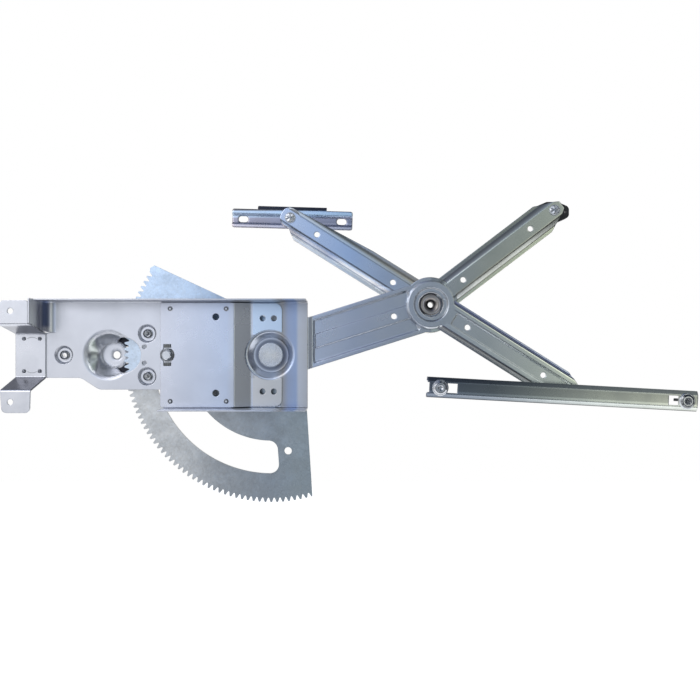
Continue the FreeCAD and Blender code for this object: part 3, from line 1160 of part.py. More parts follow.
def guide_rail():
    """Channel with bevelled face and inturned lips, open towards the arm."""
    left = -RAIL_LEFT_OF_SHOE
    right = left + RAIL_LENGTH
    half = RAIL_HEIGHT / 2
    slot_half = half - RAIL_LIP
    shoulder = RAIL_FRONT + RAIL_BEVEL_DEPTH
    path = [(slot_half, RAIL_BACK), (half, RAIL_BACK), (half, shoulder), (RAIL_FACE_HALF_HEIGHT, RAIL_FRONT),
            (-RAIL_FACE_HALF_HEIGHT, RAIL_FRONT), (-half, shoulder), (-half, RAIL_BACK),
            (-slot_half, RAIL_BACK)]
    rail = bent_along_x(path, RAIL_SHEET, RAIL_BEND_RADIUS, left, right)
    nut_left, nut_right = rail_nut_places()
    window_left = left + RAIL_WINDOW_FROM_END[0]
    window_right = right - RAIL_WINDOW_FROM_END[1] - RAIL_WINDOW_WIDTH
    for start in (window_left, window_right):
        rail = rail.cut(plate_box(start, start + RAIL_WINDOW_WIDTH, RAIL_FRONT - 1,
                                  RAIL_FRONT + RAIL_SHEET + 1, -RAIL_WINDOW_HEIGHT / 2,
                                  RAIL_WINDOW_HEIGHT / 2))
    rail = holed(rail, [(x, 0, RAIL_NUT_BODY_RADIUS) for x in (nut_left, nut_right)], RAIL_FRONT - 1,
                 RAIL_FRONT + RAIL_SHEET + 1)
    notch_half = RAIL_FACE_HALF_HEIGHT - RAIL_NOTCH_MARGIN
    rail = rail.cut(plate_box(left - 1, left + RAIL_NOTCH, RAIL_FRONT - 1, RAIL_FRONT + RAIL_SHEET,
                              -notch_half, notch_half))
    return merged(placed(rail, RAIL_PIVOT, -RAIL_TILT))


def rail_nut(x):
    """Rivet nut of the guide rail: a flange and a countersunk collar on its face, a body through it."""
    body_back = RAIL_FRONT + RAIL_SHEET + RAIL_NUT_BODY_HEIGHT
    flange_front = RAIL_FRONT - RAIL_NUT_FLANGE_HEIGHT
    collar_front = flange_front - RAIL_NUT_COLLAR_HEIGHT
    nut = cone(x, 0, RAIL_NUT_FLANGE_RADIUS - RAIL_NUT_FLANGE_CHAMFER, RAIL_NUT_FLANGE_RADIUS, flange_front,
               RAIL_FRONT)
    nut = nut.fuse(cylinder(x, 0, RAIL_NUT_COLLAR_RADIUS, collar_front, flange_front))
    nut = nut.fuse(cylinder(x, 0, RAIL_NUT_BODY_RADIUS, RAIL_FRONT, body_back))
    nut = nut.cut(cone(x, 0, RAIL_NUT_SINK_RADIUS, RAIL_NUT_THREAD_RADIUS, collar_front, flange_front))
    nut = nut.cut(cylinder(x, 0, RAIL_NUT_THREAD_RADIUS, collar_front - 1, body_back + 1))
    return merged(placed(nut, RAIL_PIVOT, -RAIL_TILT))


def build():
    """Write every node."""
    os.makedirs("parts", exist_ok=True)
    base_back, tongue_front = BASE_SHEET, -DOOR_SHEET
    save("base_plate", base_plate())
    save("pivot_panel", pivot_panel())
    save("door_bracket", door_bracket())
    save("motor_nuts", *[motor_nut(x, z) for x, z in motor_fixings()])
    save("panel_rivets", *[small_rivet(x, z, -PANEL_SHEET, base_back) for x, z in panel_rivet_places()])
    save("bracket_rivets", *[small_rivet(x, z, tongue_front, base_back) for x, z in clinch_places()])
    save("stop_stud", stop_stud())
    save("stop_bumper", stop_bumper())
    save("main_pivot_pin", main_pivot_pin())
    save("pivot_washer", pivot_washer())
    save("pivot_bush", pivot_bush())
    save("sector_gear", sector_gear())
    save("sector_rivets", *sector_rivets())
    save("lift_arm", lift_arm())
    save("lift_stud", lift_stud())
    save("lift_shoe", lift_shoe())
    save("equalizer_arm_front", equalizer_arm_front())
    save("equalizer_arm_rear", equalizer_arm_rear())
    save("scissor_rivet", scissor_rivet())
    save("hub_washers", *hub_washers())
    save("bracket_stud", bracket_stud())
    save("glass_bracket", glass_bracket())
    save("glass_bush", glass_bush())
    save("rail_stud", rail_stud())
    save("rail_shoe", rail_shoe())
    save("guide_rail", guide_rail())
    save("rail_nuts", *[rail_nut(x) for x in rail_nut_places()])


build()
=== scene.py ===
"""Looks of a crossed-arm window regulator: zinc finishes, fasteners, plastics and a plain studio.

The frame brings the solids in metres, with +X towards the guide rail, +Z up and +Y away from the
viewer in front. The file is laid out as an add-on, so each group of pieces has its own operator.
Tones that differ by place on a piece stand in for the reflections of the room round it, and ride with
the piece.
"""

import math

import bmesh
import bpy
import numpy as np
from mathutils import Euler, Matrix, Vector


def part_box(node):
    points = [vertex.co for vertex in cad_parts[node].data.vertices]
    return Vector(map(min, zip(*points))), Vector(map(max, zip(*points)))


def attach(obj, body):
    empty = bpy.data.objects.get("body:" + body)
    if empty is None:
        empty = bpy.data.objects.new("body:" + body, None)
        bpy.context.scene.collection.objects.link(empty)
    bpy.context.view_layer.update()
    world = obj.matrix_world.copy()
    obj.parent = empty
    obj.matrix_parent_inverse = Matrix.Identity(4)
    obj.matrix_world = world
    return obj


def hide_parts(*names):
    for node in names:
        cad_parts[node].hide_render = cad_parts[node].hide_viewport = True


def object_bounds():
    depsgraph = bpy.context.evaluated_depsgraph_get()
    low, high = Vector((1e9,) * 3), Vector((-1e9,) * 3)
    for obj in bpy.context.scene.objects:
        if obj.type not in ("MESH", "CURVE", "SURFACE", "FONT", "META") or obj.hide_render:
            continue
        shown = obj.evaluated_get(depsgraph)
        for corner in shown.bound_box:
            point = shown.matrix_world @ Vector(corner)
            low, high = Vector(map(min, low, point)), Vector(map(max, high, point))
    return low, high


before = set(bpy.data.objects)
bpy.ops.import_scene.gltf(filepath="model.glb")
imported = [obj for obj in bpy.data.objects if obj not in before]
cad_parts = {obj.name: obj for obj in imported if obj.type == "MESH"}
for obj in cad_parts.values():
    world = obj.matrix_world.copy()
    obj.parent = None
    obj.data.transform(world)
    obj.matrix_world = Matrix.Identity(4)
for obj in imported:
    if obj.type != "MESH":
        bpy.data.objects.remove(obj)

bl_info = {
    "name": "Window Regulator",
    "version": (1, 0, 0),
    "blender": (4, 2, 0),
    "location": "View3D > Sidebar > Regulator",
    "description": "Finishes and studio for a crossed-arm window regulator",
    "category": "Object",
}

MM = 0.001
WHITE = (1, 1, 1)
FULL_BOX = [list(corner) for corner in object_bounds()]

# Places on the solids, seen from the front, as (X, Z) in millimetres.
PINION_DISH = (-2.5, 0)
MAIN_PIVOT = (167, 0)
MOTOR_NUTS = [(-49.0, 0.0), (38.5, 22.5), (38.5, -22.5)]
PANEL_RIVETS = [(x, z) for x in (63.0, 121.7) for z in (48.5, -48.5)]
LEFT_RAIL_NUT = (345.2, -33.8)

# The clinch marks lie this far above and below the middle, as Z in millimetres.
CLINCH_ROW = 17.0

# Slopes of the pressed sections against +X, in degrees.
LIFT_SLOPE, EQUALIZER_SLOPE, RAIL_SLOPE = 37.3, -32.2, -3.1

# Y of the hub's pressed rings, counted from the sunk front of the scissor rivet, in millimetres.
RING_DEPTH = -1.75

# The camera's place and the base plate's front face in metres, and the sensor in millimetres.
CAMERA_X, CAMERA_Z, BASE_FRONT = 0.2515, 0.0053, -0.020
SENSOR_WIDTH = 36.0

# First X of a section that holds however far left, in millimetres.
EVERYWHERE = -1000

# Settings of the colour mix, of its multiply form and of a soft-edged map.
COVER = {"data_type": "RGBA"}
TINT = {"data_type": "RGBA", "blend_type": "MULTIPLY"}
SOFT = {"interpolation_type": "SMOOTHSTEP"}


def linear(hex_colour):
    """sRGB hex to linear colour: c / 12.92 near black, else ((c + 0.055) / 1.055) to the power 2.4."""
    channels = [int(hex_colour[i:i + 2], 16) / 255 for i in (1, 3, 5)]
    return [c / 12.92 if c <= 0.04045 else ((c + 0.055) / 1.055) ** 2.4 for c in channels]


def darker(colour, share):
    """A share of a linear colour."""
    return [channel * share for channel in colour]


def add(tree, kind, settings=None, stops=(), **inputs):
    """Add a node with its settings, the (position, colour) stops of its ramp and its inputs, by name or
    by number after an underscore. A socket given for an input is linked to it, any other value is set on
    it, and three numbers for a colour get their alpha."""
    node = tree.nodes.new(kind)
    for name, value in (settings or {}).items():
        setattr(node, name, value)
    for _ in stops[2:]:
        node.color_ramp.elements.new(0.5)
    for index, (position, colour) in enumerate(stops):
        node.color_ramp.elements[index].position = position
        node.color_ramp.elements[index].color = (*colour, 1)
    for name, value in inputs.items():
        socket = node.inputs[int(name[1:]) if name[1:].isdigit() else name.replace("_", " ")]
        if isinstance(value, bpy.types.NodeSocket):
            tree.links.new(value, socket)
        elif socket.type == "RGBA":
            socket.default_value = (*value[:3], 1)
        else:
            socket.default_value = value
    return node


def new_material(name):
    """Empty material and its tree."""
    material = bpy.data.materials.new(name)
    material.use_nodes = True
    material.node_tree.nodes.clear()
    return material, material.node_tree


def spread(tree, value, start, stops):
    """Share of the way from the first stop to the last, at a value in metres counted from a start, and
    the stops with their millimetres turned to such shares."""
    first, last = stops[0][0], stops[-1][0]
    share = add(tree, "ShaderNodeMapRange", Value=value, From_Min=(start + first) * MM,
                From_Max=(start + last) * MM).outputs["Result"]
    return share, [((x - first) / (last - first), *rest) for x, *rest in stops]


def distance_seen(tree, place, centre):
    """Distance from a point (X, Z) in millimetres, seen from the front."""
    flat = add(tree, "ShaderNodeVectorMath", {"operation": "MULTIPLY"}, _0=place, _1=(1, 0, 1))
    return add(tree, "ShaderNodeVectorMath", {"operation": "DISTANCE"}, _0=flat.outputs["Vector"],
               _1=(centre[0] * MM, 0, centre[1] * MM)).outputs["Value"]


def round_patch(tree, place, centre, radius, soft):
    """Mask that is 1 within a radius of a point seen from the front, and fades to 0 over a soft edge."""
    return add(tree, "ShaderNodeMapRange", SOFT, Value=distance_seen(tree, place, centre),
               From_Min=radius * MM, From_Max=(radius + soft) * MM, To_Min=1.0,
               To_Max=0.0).outputs["Result"]


def box_patch(tree, place, low, high, soft):
    """Mask that is 1 inside a box and fades to 0 over a soft edge outside it: the distance past the box
    is the length of what is left of each side's distance from the middle, less its half."""
    middle = [(a + b) / 2 * MM for a, b in zip(low, high)]
    half = [(b - a) / 2 * MM for a, b in zip(low, high)]
    gap = place
    for operation, value in (("SUBTRACT", middle), ("ABSOLUTE", None), ("SUBTRACT", half),
                             ("MAXIMUM", (0, 0, 0)), ("LENGTH", None)):
        second = {} if value is None else {"_1": value}
        step = add(tree, "ShaderNodeVectorMath", {"operation": operation}, _0=gap, **second)
        gap = step.outputs["Value" if operation == "LENGTH" else "Vector"]
    return add(tree, "ShaderNodeMapRange", SOFT, Value=gap, From_Min=0.0, From_Max=soft * MM, To_Min=1.0,
               To_Max=0.0).outputs["Result"]


def shade_creases(tree, colour, depth):
    """Painted shade: darken the zinc by a depth in a line along bends and cut edges, as the shade
    that gathers in them. A bend is where the normal rounded over half a millimetre leaves the true
    one by 6 to 22 degrees."""
    reach, flat, bent = 0.5 * MM, 0.995, 0.93
    rounded = add(tree, "ShaderNodeBevel", {"samples": 4}, Radius=reach)
    agree = add(tree, "ShaderNodeVectorMath", {"operation": "DOT_PRODUCT"}, _0=rounded.outputs["Normal"],
                _1=add(tree, "ShaderNodeNewGeometry").outputs["Normal"])
    turn = add(tree, "ShaderNodeMapRange", Value=agree.outputs["Value"], From_Min=flat, From_Max=bent,
               To_Max=depth)
    return add(tree, "ShaderNodeMix", COVER, _0=turn.outputs["Result"], _6=colour,
               _7=linear("#3F4550")).outputs[2]


def pressed(tree, place, edge_mm, bends, grain_mm):
    """Normal of pressed sheet: edges rounded over edge_mm, wider within the round bends, which are
    (centre, radius, soft edge, wider edge), and a grain up to 0.02 mm high. The real grain is about a
    tenth of a millimetre wide and is drawn coarser so that it shows."""
    edge = add(tree, "ShaderNodeBevel", {"samples": 8}, Radius=edge_mm * MM)
    for *where, wider in bends:
        scaled = add(tree, "ShaderNodeMapRange", Value=round_patch(tree, place, *where),
                     To_Min=edge_mm * MM, To_Max=wider * MM)
        tree.links.new(scaled.outputs["Result"], edge.inputs["Radius"])
    grain = add(tree, "ShaderNodeTexNoise", Vector=place, Scale=1 / (grain_mm * MM), Detail=2.0)
    return add(tree, "ShaderNodeBump", Height=grain.outputs["Fac"], Strength=0.12, Distance=0.02 * MM,
               Normal=edge.outputs["Normal"]).outputs[0]


def folded(tree, place, colour, normal, point, clear, slope, first_x, section):
    """Pressed section of an arm or a rail along a line through a point, at a slope in degrees. Its stops
    are (millimetres across the line, tone, lean). A tone is one number or three, and a lean turns the
    surface towards the upper side, which rounds a flank. The section holds outside the clear radius
    round the point, or only within it where that is negative, and to the right of the first X."""
    fade = 2
    held = round_patch(tree, place, point, abs(clear), fade)
    if clear >= 0:
        held = add(tree, "ShaderNodeMath", {"operation": "SUBTRACT"}, _0=1.0, _1=held).outputs[0]
    along = add(tree, "ShaderNodeSeparateXYZ", Vector=place).outputs["X"]
    past = add(tree, "ShaderNodeMapRange", Value=along, From_Min=first_x * MM,
               From_Max=(first_x + fade) * MM).outputs["Result"]
    held = add(tree, "ShaderNodeMath", {"operation": "MULTIPLY"}, _0=held, _1=past).outputs[0]
    way = (-math.sin(math.radians(slope)), 0, math.cos(math.radians(slope)))
    start = point[0] * way[0] + point[1] * way[2]
    across = add(tree, "ShaderNodeVectorMath", {"operation": "DOT_PRODUCT"}, _0=place, _1=way)
    share, spots = spread(tree, across.outputs["Value"], start, section)
    greys = [(spot, tone if isinstance(tone, tuple) else (tone,) * 3) for spot, tone, _ in spots]
    tone = add(tree, "ShaderNodeValToRGB", stops=greys, Fac=share).outputs["Color"]
    colour = add(tree, "ShaderNodeMix", TINT, _0=held, _6=colour, _7=tone).outputs[2]
    # A ramp holds 0 to 1 only, so a lean of -1 to 1 goes through it halved and raised.
    raised = [(spot, (lean / 2 + 0.5,) * 3) for spot, _, lean in spots]
    leans = add(tree, "ShaderNodeValToRGB", stops=raised, Fac=share)
    lean = add(tree, "ShaderNodeMapRange", Value=leans.outputs["Color"], To_Min=-1.0)
    push = add(tree, "ShaderNodeMath", {"operation": "MULTIPLY"}, _0=lean.outputs["Result"], _1=held)
    lever = add(tree, "ShaderNodeVectorMath", {"operation": "SCALE"}, _0=way, Scale=push.outputs[0])
    return colour, shifted(tree, normal, lever.outputs["Vector"])


def shifted(tree, normal, push):
    """Normal pushed by a vector and brought back to length one."""
    moved = add(tree, "ShaderNodeVectorMath", {"operation": "ADD"}, _0=normal, _1=push)
    return add(tree, "ShaderNodeVectorMath", {"operation": "NORMALIZE"},
               _0=moved.outputs["Vector"]).outputs["Vector"]


def rolled(tree, place, normal, depth):
    """Rolling lines along X of a depth in millimetres: a noise 0.8 mm fine, stretched 33 times. Real
    lines are ten times finer and are drawn coarser so that they show."""
    stretched = add(tree, "ShaderNodeMapping", Vector=place, Scale=(0.03, 1, 1))
    lines = add(tree, "ShaderNodeTexNoise", Vector=stretched.outputs["Vector"], Scale=1 / (0.8 * MM),
                Detail=3.0)
    return add(tree, "ShaderNodeBump", Height=lines.outputs["Fac"], Strength=0.5, Distance=depth * MM,
               Normal=normal).outputs[0]


def grooved(tree, place, normal, centre, pitch, depth):
    """Turning grooves round a centre: a sine of the distance from it. Real ones are 0.1 to 0.2 mm apart
    and are drawn coarser so that they show."""
    turns = add(tree, "ShaderNodeMath", {"operation": "MULTIPLY"}, _0=distance_seen(tree, place, centre),
                _1=2 * math.pi / (pitch * MM))
    wave = add(tree, "ShaderNodeMath", {"operation": "SINE"}, _0=turns.outputs[0])
    return add(tree, "ShaderNodeBump", Height=wave.outputs[0], Strength=1.0, Distance=depth * MM,
               Normal=normal).outputs[0]


def spangled(tree, place, colour, normal, size_mm):
    """Spangle of hot-dip zinc: crystals, cells of a Voronoi pattern, each with its own tone and tilt."""
    crystals = add(tree, "ShaderNodeTexVoronoi", Vector=place, Scale=1 / (size_mm * MM)).outputs["Color"]
    tone = add(tree, "ShaderNodeSeparateColor", Color=crystals)
    shine = add(tree, "ShaderNodeMapRange", Value=tone.outputs["Red"], To_Min=0.9, To_Max=1.08)
    colour = add(tree, "ShaderNodeVectorMath", {"operation": "SCALE"}, _0=colour,
                 Scale=shine.outputs["Result"]).outputs["Vector"]
    centred = add(tree, "ShaderNodeVectorMath", {"operation": "SUBTRACT"}, _0=crystals,
                  _1=(0.5, 0.5, 0.5))
    tilt = add(tree, "ShaderNodeVectorMath", {"operation": "SCALE"}, _0=centred.outputs["Vector"],
               Scale=0.05)
    return colour, shifted(tree, normal, tilt.outputs["Vector"])


def zinc(name, light, shade, roughness, cloud_mm=45, grain_mm=0.9, spangle_mm=0, edge_mm=0.35, tones=(),
         round_tints=(), bands=(), bends=(), brush=0.0, lathe=None, fold=None, crease=0.45):
    """Zinc on steel: clouds of two near tones, as uneven plating leaves them, over a grain and soft
    pressed edges, and a little rougher where the clouds are dark. Tones are (axis, stops of millimetres
    and tone), round tints are (centre, radius, soft edge, colour, strength) and bands are (low corner,
    high corner, soft edge, colour, strength); most tones, round tints and bands are painted light, shade
    and reflections. Bends and grain_mm are for pressed, brush is the depth for rolled, lathe is for
    grooved, fold for folded, spangle_mm for spangled, and crease is the depth of the painted shade along
    bends."""
    material, tree = new_material(name)
    place = add(tree, "ShaderNodeTexCoord").outputs["Object"]
    clouds = add(tree, "ShaderNodeTexNoise", Vector=place, Scale=1 / (cloud_mm * MM), Detail=4.0,
                 Roughness=0.6).outputs["Fac"]
    colour = add(tree, "ShaderNodeValToRGB", stops=[(0.34, shade), (0.66, light)],
                 Fac=clouds).outputs["Color"]
    for axis, stops in tones:
        along = add(tree, "ShaderNodeSeparateXYZ", Vector=place).outputs[axis]
        share, spots = spread(tree, along, 0, stops)
        tone = add(tree, "ShaderNodeValToRGB", stops=spots, Fac=share).outputs["Color"]
        colour = add(tree, "ShaderNodeMix", TINT, _0=1.0, _6=colour, _7=tone).outputs[2]
    patches = [(round_patch(tree, place, *where), tint_colour, strength) for *where, tint_colour, strength in round_tints]
    patches += [(box_patch(tree, place, *where), tint_colour, strength) for *where, tint_colour, strength in bands]
    for patch, tint_colour, strength in patches:
        mask = add(tree, "ShaderNodeMath", {"operation": "MULTIPLY"}, _0=patch, _1=strength).outputs[0]
        colour = add(tree, "ShaderNodeMix", COVER, _0=mask, _6=colour, _7=tint_colour).outputs[2]
    rough = add(tree, "ShaderNodeMapRange", Value=clouds, From_Min=0.3, From_Max=0.7,
                To_Min=roughness + 0.05, To_Max=roughness - 0.04)
    colour = shade_creases(tree, colour, crease)
    normal = pressed(tree, place, edge_mm, bends, grain_mm)
    if fold:
        colour, normal = folded(tree, place, colour, normal, *fold)
    if brush:
        normal = rolled(tree, place, normal, brush)
    if lathe:
        normal = grooved(tree, place, normal, *lathe)
    if spangle_mm:
        colour, normal = spangled(tree, place, colour, normal, spangle_mm)
    shader = add(tree, "ShaderNodeBsdfPrincipled", Base_Color=colour, Metallic=1.0,
                 Roughness=rough.outputs["Result"], Normal=normal)
    add(tree, "ShaderNodeOutputMaterial", Surface=shader.outputs[0])
    return material


def plastic(name, colour, roughness, grain_mm):
    """Moulded plastic or rubber: one colour with a fine moulded grain, and the shader's own IOR of 1.5,
    near that of acetal (1.48) and rubber (1.52)."""
    material, tree = new_material(name)
    place = add(tree, "ShaderNodeTexCoord").outputs["Object"]
    grain = add(tree, "ShaderNodeTexNoise", Vector=place, Scale=1 / (grain_mm * MM), Detail=2.0)
    bump = add(tree, "ShaderNodeBump", Height=grain.outputs["Fac"], Strength=0.2, Distance=0.05 * MM)
    shader = add(tree, "ShaderNodeBsdfPrincipled", Base_Color=colour, Roughness=roughness,
                 Normal=bump.outputs["Normal"])
    add(tree, "ShaderNodeOutputMaterial", Surface=shader.outputs[0])
    return material


def paint(names, material):
    """Give CAD pieces their finish."""
    for name in names:
        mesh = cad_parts[name].data
        mesh.materials.clear()
        mesh.materials.append(material)


def turned(centre, loop, lobes=(0, 0, 0, 1), steps=72):
    """Grid of a closed loop of (radius, Y) swept round a line along Y. Between two radii, lobes move Y by
    a depth times the cosine of a count times the angle, which gives the star of a staked head."""
    angle = np.linspace(0, 2 * math.pi, steps, endpoint=False)[:, None]
    radius, depth = np.array(loop, float).T[:, None, :]
    count, height, inner, outer = lobes
    inside = np.clip((radius - inner) / (outer - inner), 0, 1)
    swell = height * np.sin(math.pi * inside) * np.cos(count * angle) * (count > 0)
    across, along = radius * np.cos(angle), radius * np.sin(angle)
    return np.stack([centre[0] + across, depth + swell, centre[1] + along], axis=-1) * MM


def bar(start, end, half_width, half_depth, ridges=0, steps=24):
    """Grid of a rounded bar between two points: its section is a superellipse, cosine and sine to the
    power 0.4, its ends close on the line, and ridges make its depth swell along it as a sine squared."""
    squareness = 0.4
    start, end = np.array(start, float), np.array(end, float)
    share = np.array([0, 0.001, 0.03, *np.linspace(0.08, 0.92, 25), 0.97, 0.999, 1])[:, None]
    size = np.array([0, 0.7, 0.94, *[1] * 25, 0.94, 0.7, 0])[:, None]
    angle = np.linspace(0, 2 * math.pi, steps, endpoint=False)[None, :]
    side = np.sign(np.cos(angle)) * np.abs(np.cos(angle)) ** squareness * half_width * size
    swell = 1 + 0.5 * np.sin(math.pi * ridges * share) ** 2
    front = np.sign(np.sin(angle)) * np.abs(np.sin(angle)) ** squareness * half_depth * size * swell
    way = (end - start) / np.linalg.norm(end - start)
    across = np.array([-way[2], 0, way[0]])
    middle = start + share[:, :, None] * (end - start)
    return (middle + side[:, :, None] * across + front[:, :, None] * np.array([0, 1, 0])) * MM


def bead(points, radius, steps=10):
    """Grid of a thin tube along points in one upright plane: a circle of the radius at each point, across
    the way that the points take, with no size at the two ends, which close on the line."""
    line = np.array(points, float)
    way = np.gradient(line, axis=0)
    way /= np.linalg.norm(way, axis=1)[:, None]
    across = np.stack([-way[:, 2], np.zeros(len(line)), way[:, 0]], axis=-1)
    angle = np.linspace(0, 2 * math.pi, steps, endpoint=False)[None, :, None]
    size = np.full(len(line), radius)
    size[[0, -1]] = 0
    ring = across[:, None, :] * np.cos(angle) + np.array([0, 1, 0]) * np.sin(angle)
    return (line[:, None, :] + ring * size[:, None, None]) * MM


def skin(name, grids, material, body, replaced=()):
    """One piece from grids whose rows and columns both come round to their start: coincident points are
    merged, faces are turned outwards and edges sharper than 35 degrees stay crisp."""
    points, faces, count = [], [], 0
    for grid in grids:
        index = count + np.arange(grid.shape[0] * grid.shape[1]).reshape(grid.shape[:2])
        below, right = np.roll(index, -1, axis=0), np.roll(index, -1, axis=1)
        faces.append(np.stack([index, below, np.roll(below, -1, axis=1), right], axis=-1).reshape(-1, 4))
        points.append(grid.reshape(-1, 3))
        count += index.size
    mesh = bpy.data.meshes.new(name)
    mesh.from_pydata(np.concatenate(points).tolist(), [], np.concatenate(faces).tolist())
    shell = bmesh.new()
    shell.from_mesh(mesh)
    bmesh.ops.remove_doubles(shell, verts=shell.verts, dist=0.002 * MM)
    bmesh.ops.delete(shell, geom=[edge for edge in shell.edges if not edge.link_faces], context="EDGES")
    bmesh.ops.recalc_face_normals(shell, faces=shell.faces)
    shell.to_mesh(mesh)
    shell.free()
    mesh.polygons.foreach_set("use_smooth", np.ones(len(mesh.polygons), dtype=bool))
    mesh.set_sharp_from_angle(angle=math.radians(35))
    mesh.materials.append(material)
    piece = bpy.data.objects.new(name, mesh)
    bpy.context.scene.collection.objects.link(piece)
    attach(piece, body)
    if replaced:
        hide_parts(*replaced)


def middle(node):
    """Centre of a CAD node seen from the front, and its front, in millimetres."""
    low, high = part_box(node)
    return ((low.x + high.x) / 2 / MM, (low.z + high.z) / 2 / MM), low.y / MM


class FinishPlan(bpy.types.PropertyGroup):
    """Base colours of the finishes."""
    base_colour: bpy.props.FloatVectorProperty(
        name="Base Zinc", description="Bright zinc of the base plate, panel and bracket", subtype="COLOR",
        default=linear("#DCDEE4"))
    arm_colour: bpy.props.FloatVectorProperty(
        name="Arm Zinc", description="Blue passivated zinc of the arms", subtype="COLOR",
        default=linear("#DADDE1"))
    rail_colour: bpy.props.FloatVectorProperty(
        name="Rail Zinc", description="Dull zinc of the guide rail", subtype="COLOR",
        default=linear("#D2D5D4"))
    sector_colour: bpy.props.FloatVectorProperty(
        name="Sector Zinc", description="Spangled hot-dip zinc of the sector", subtype="COLOR",
        default=linear("#D8DBDE"))
    rivet_colour: bpy.props.FloatVectorProperty(
        name="Rivet Colour", description="Yellow passivated zinc of the scissor rivet", subtype="COLOR",
        default=linear("#B4AFAC"))
    plastic_colour: bpy.props.FloatVectorProperty(
        name="Plastic Colour", description="Black acetal of the shoes", subtype="COLOR",
        default=linear("#1B1C1F"))


class StagePlan(bpy.types.PropertyGroup):
    """Camera and floor."""
    distance: bpy.props.FloatProperty(
        name="Camera Distance", description="From the base plate's front face to the camera",
        default=0.735, unit="LENGTH")
    lens: bpy.props.FloatProperty(
        name="Lens", description="Focal length on a sensor 36 mm wide, in millimetres", default=36.0)
    floor_edges: bpy.props.FloatVectorProperty(
        name="Floor Edges", description="Left, right, front and back edges of the white sheet", size=4,
        default=(-0.6, 1.1, -0.3, 0.9), unit="LENGTH")
    floor_drop: bpy.props.FloatProperty(
        name="Floor Drop", description="From the lowest point of the regulator to the floor",
        default=0.15, unit="LENGTH")


class REGULATOR_OT_sheet(bpy.types.Operator):
    """Finish the base plate, panel and bracket"""
    bl_idname = "regulator.sheet"
    bl_label = "Pressed Sheet"

    def execute(self, context):
        plan = context.scene.regulator_finish
        base = plan.base_colour
        pivot_dish_shade, shade, blue = linear("#565C6C"), linear("#4E525E"), linear("#5A6E98")
        dim = (0.9, 0.92, 0.94)
        dimples = [((35.6, z), 1.4, 1.0, linear("#8C9096"), 0.8) for z in (8.5, -8.5)]
        # Cold-rolled strip, deep drawn and electroplated with bright zinc: pale and a little blue, with
        # soft mirror-like reflections along fine rolling lines. The end wall on the left and the slope of
        # the step on the right stand steeper, and a darker, bluer side of the room is painted on them as
        # their reflection. A lighter, greener reflection lies on the left wall of the pinion dish, from
        # leaned normals and a painted tint. Painted shade darkens the main pivot's dish, and the two
        # dimples are drawn darker.
        paint(["base_plate"],
              zinc("Bright zinc on pressed steel", base, darker(base, 0.93), 0.3, brush=0.012,
                   edge_mm=0.8,
                   tones=[("X", [(-95, WHITE), (120, WHITE), (170, (0.9, 0.97, 1.05)),
                                 (180, (0.62, 0.6, 0.56)), (186, (0.62, 0.7, 0.86)),
                                 (194, (0.62, 0.74, 0.95)), (197, (0.98, 0.98, 0.97)),
                                 (206, (0.92, 0.9, 0.86))])],
                   round_tints=[(MAIN_PIVOT, 15, 4, pivot_dish_shade, 0.8), *dimples],
                   bands=[((-98, -37, 20), (-92, -24, 60), 5, shade, 0.9),
                          ((-91, -26, 32), (-66, -18, 60), 5, blue, 0.85),
                          ((-88, -22, 18), (-76, -18, 32), 5, blue, 0.6)],
                   bends=[(PINION_DISH, 26, 3, 5.0)],
                   fold=(PINION_DISH, -23, 90, EVERYWHERE, [
                       (12.5, 1.0, 0), (14.5, 1.0, 0.35), (17, (1.0, 1.05, 0.95), 0.64),
                       (20, (1.0, 1.05, 0.95), 0.6), (23, 1.0, 0.3), (24.5, 1.0, 0)])))
        # Thicker cold-rolled sheet, blanked, pressed and bright zinc plated: smoother than the base
        # plate. Its two ears on the right carry painted light, and painted shade lies on its step beside
        # the pivot dish and on the slope before the ears.
        paint(["pivot_panel"],
              zinc("Bright zinc on thick pressed steel", base, darker(base, 0.95), 0.28, edge_mm=0.8,
                   tones=[("X", [(52, (1, 1, 1.02)), (122, (0.88, 0.95, 1.06)), (131, dim), (145, dim),
                                 (148, (1, 1.02, 1.05)), (182, (0.95, 1.0, 1.06))])],
                   bands=[((149, -16, 22), (186, -10, 60), 1, linear("#D8ECFF"), 0.75),
                          ((149, -16, -60), (186, -10, -22), 1, linear("#DCD8D0"), 0.7),
                          ((138, -12.5, -24), (150, 4, 21), 1.5, linear("#30363A"), 0.85)]))
        # Bent strip, bright zinc plated: its legs turn away from the light and carry painted shade, the
        # lower one the most.
        paint(["door_bracket"],
              zinc("Bright zinc on bent steel", base, darker(base, 0.93), 0.3, edge_mm=0.8, cloud_mm=20,
                   bands=[((-120, -56, 23.5), (-60, -18, 28.5), 2, linear("#6E6E74"), 0.6),
                          ((-120, -54, -36.5), (-60, -20, -24), 1.5, linear("#42444E"), 0.9)]))
        return {"FINISHED"}


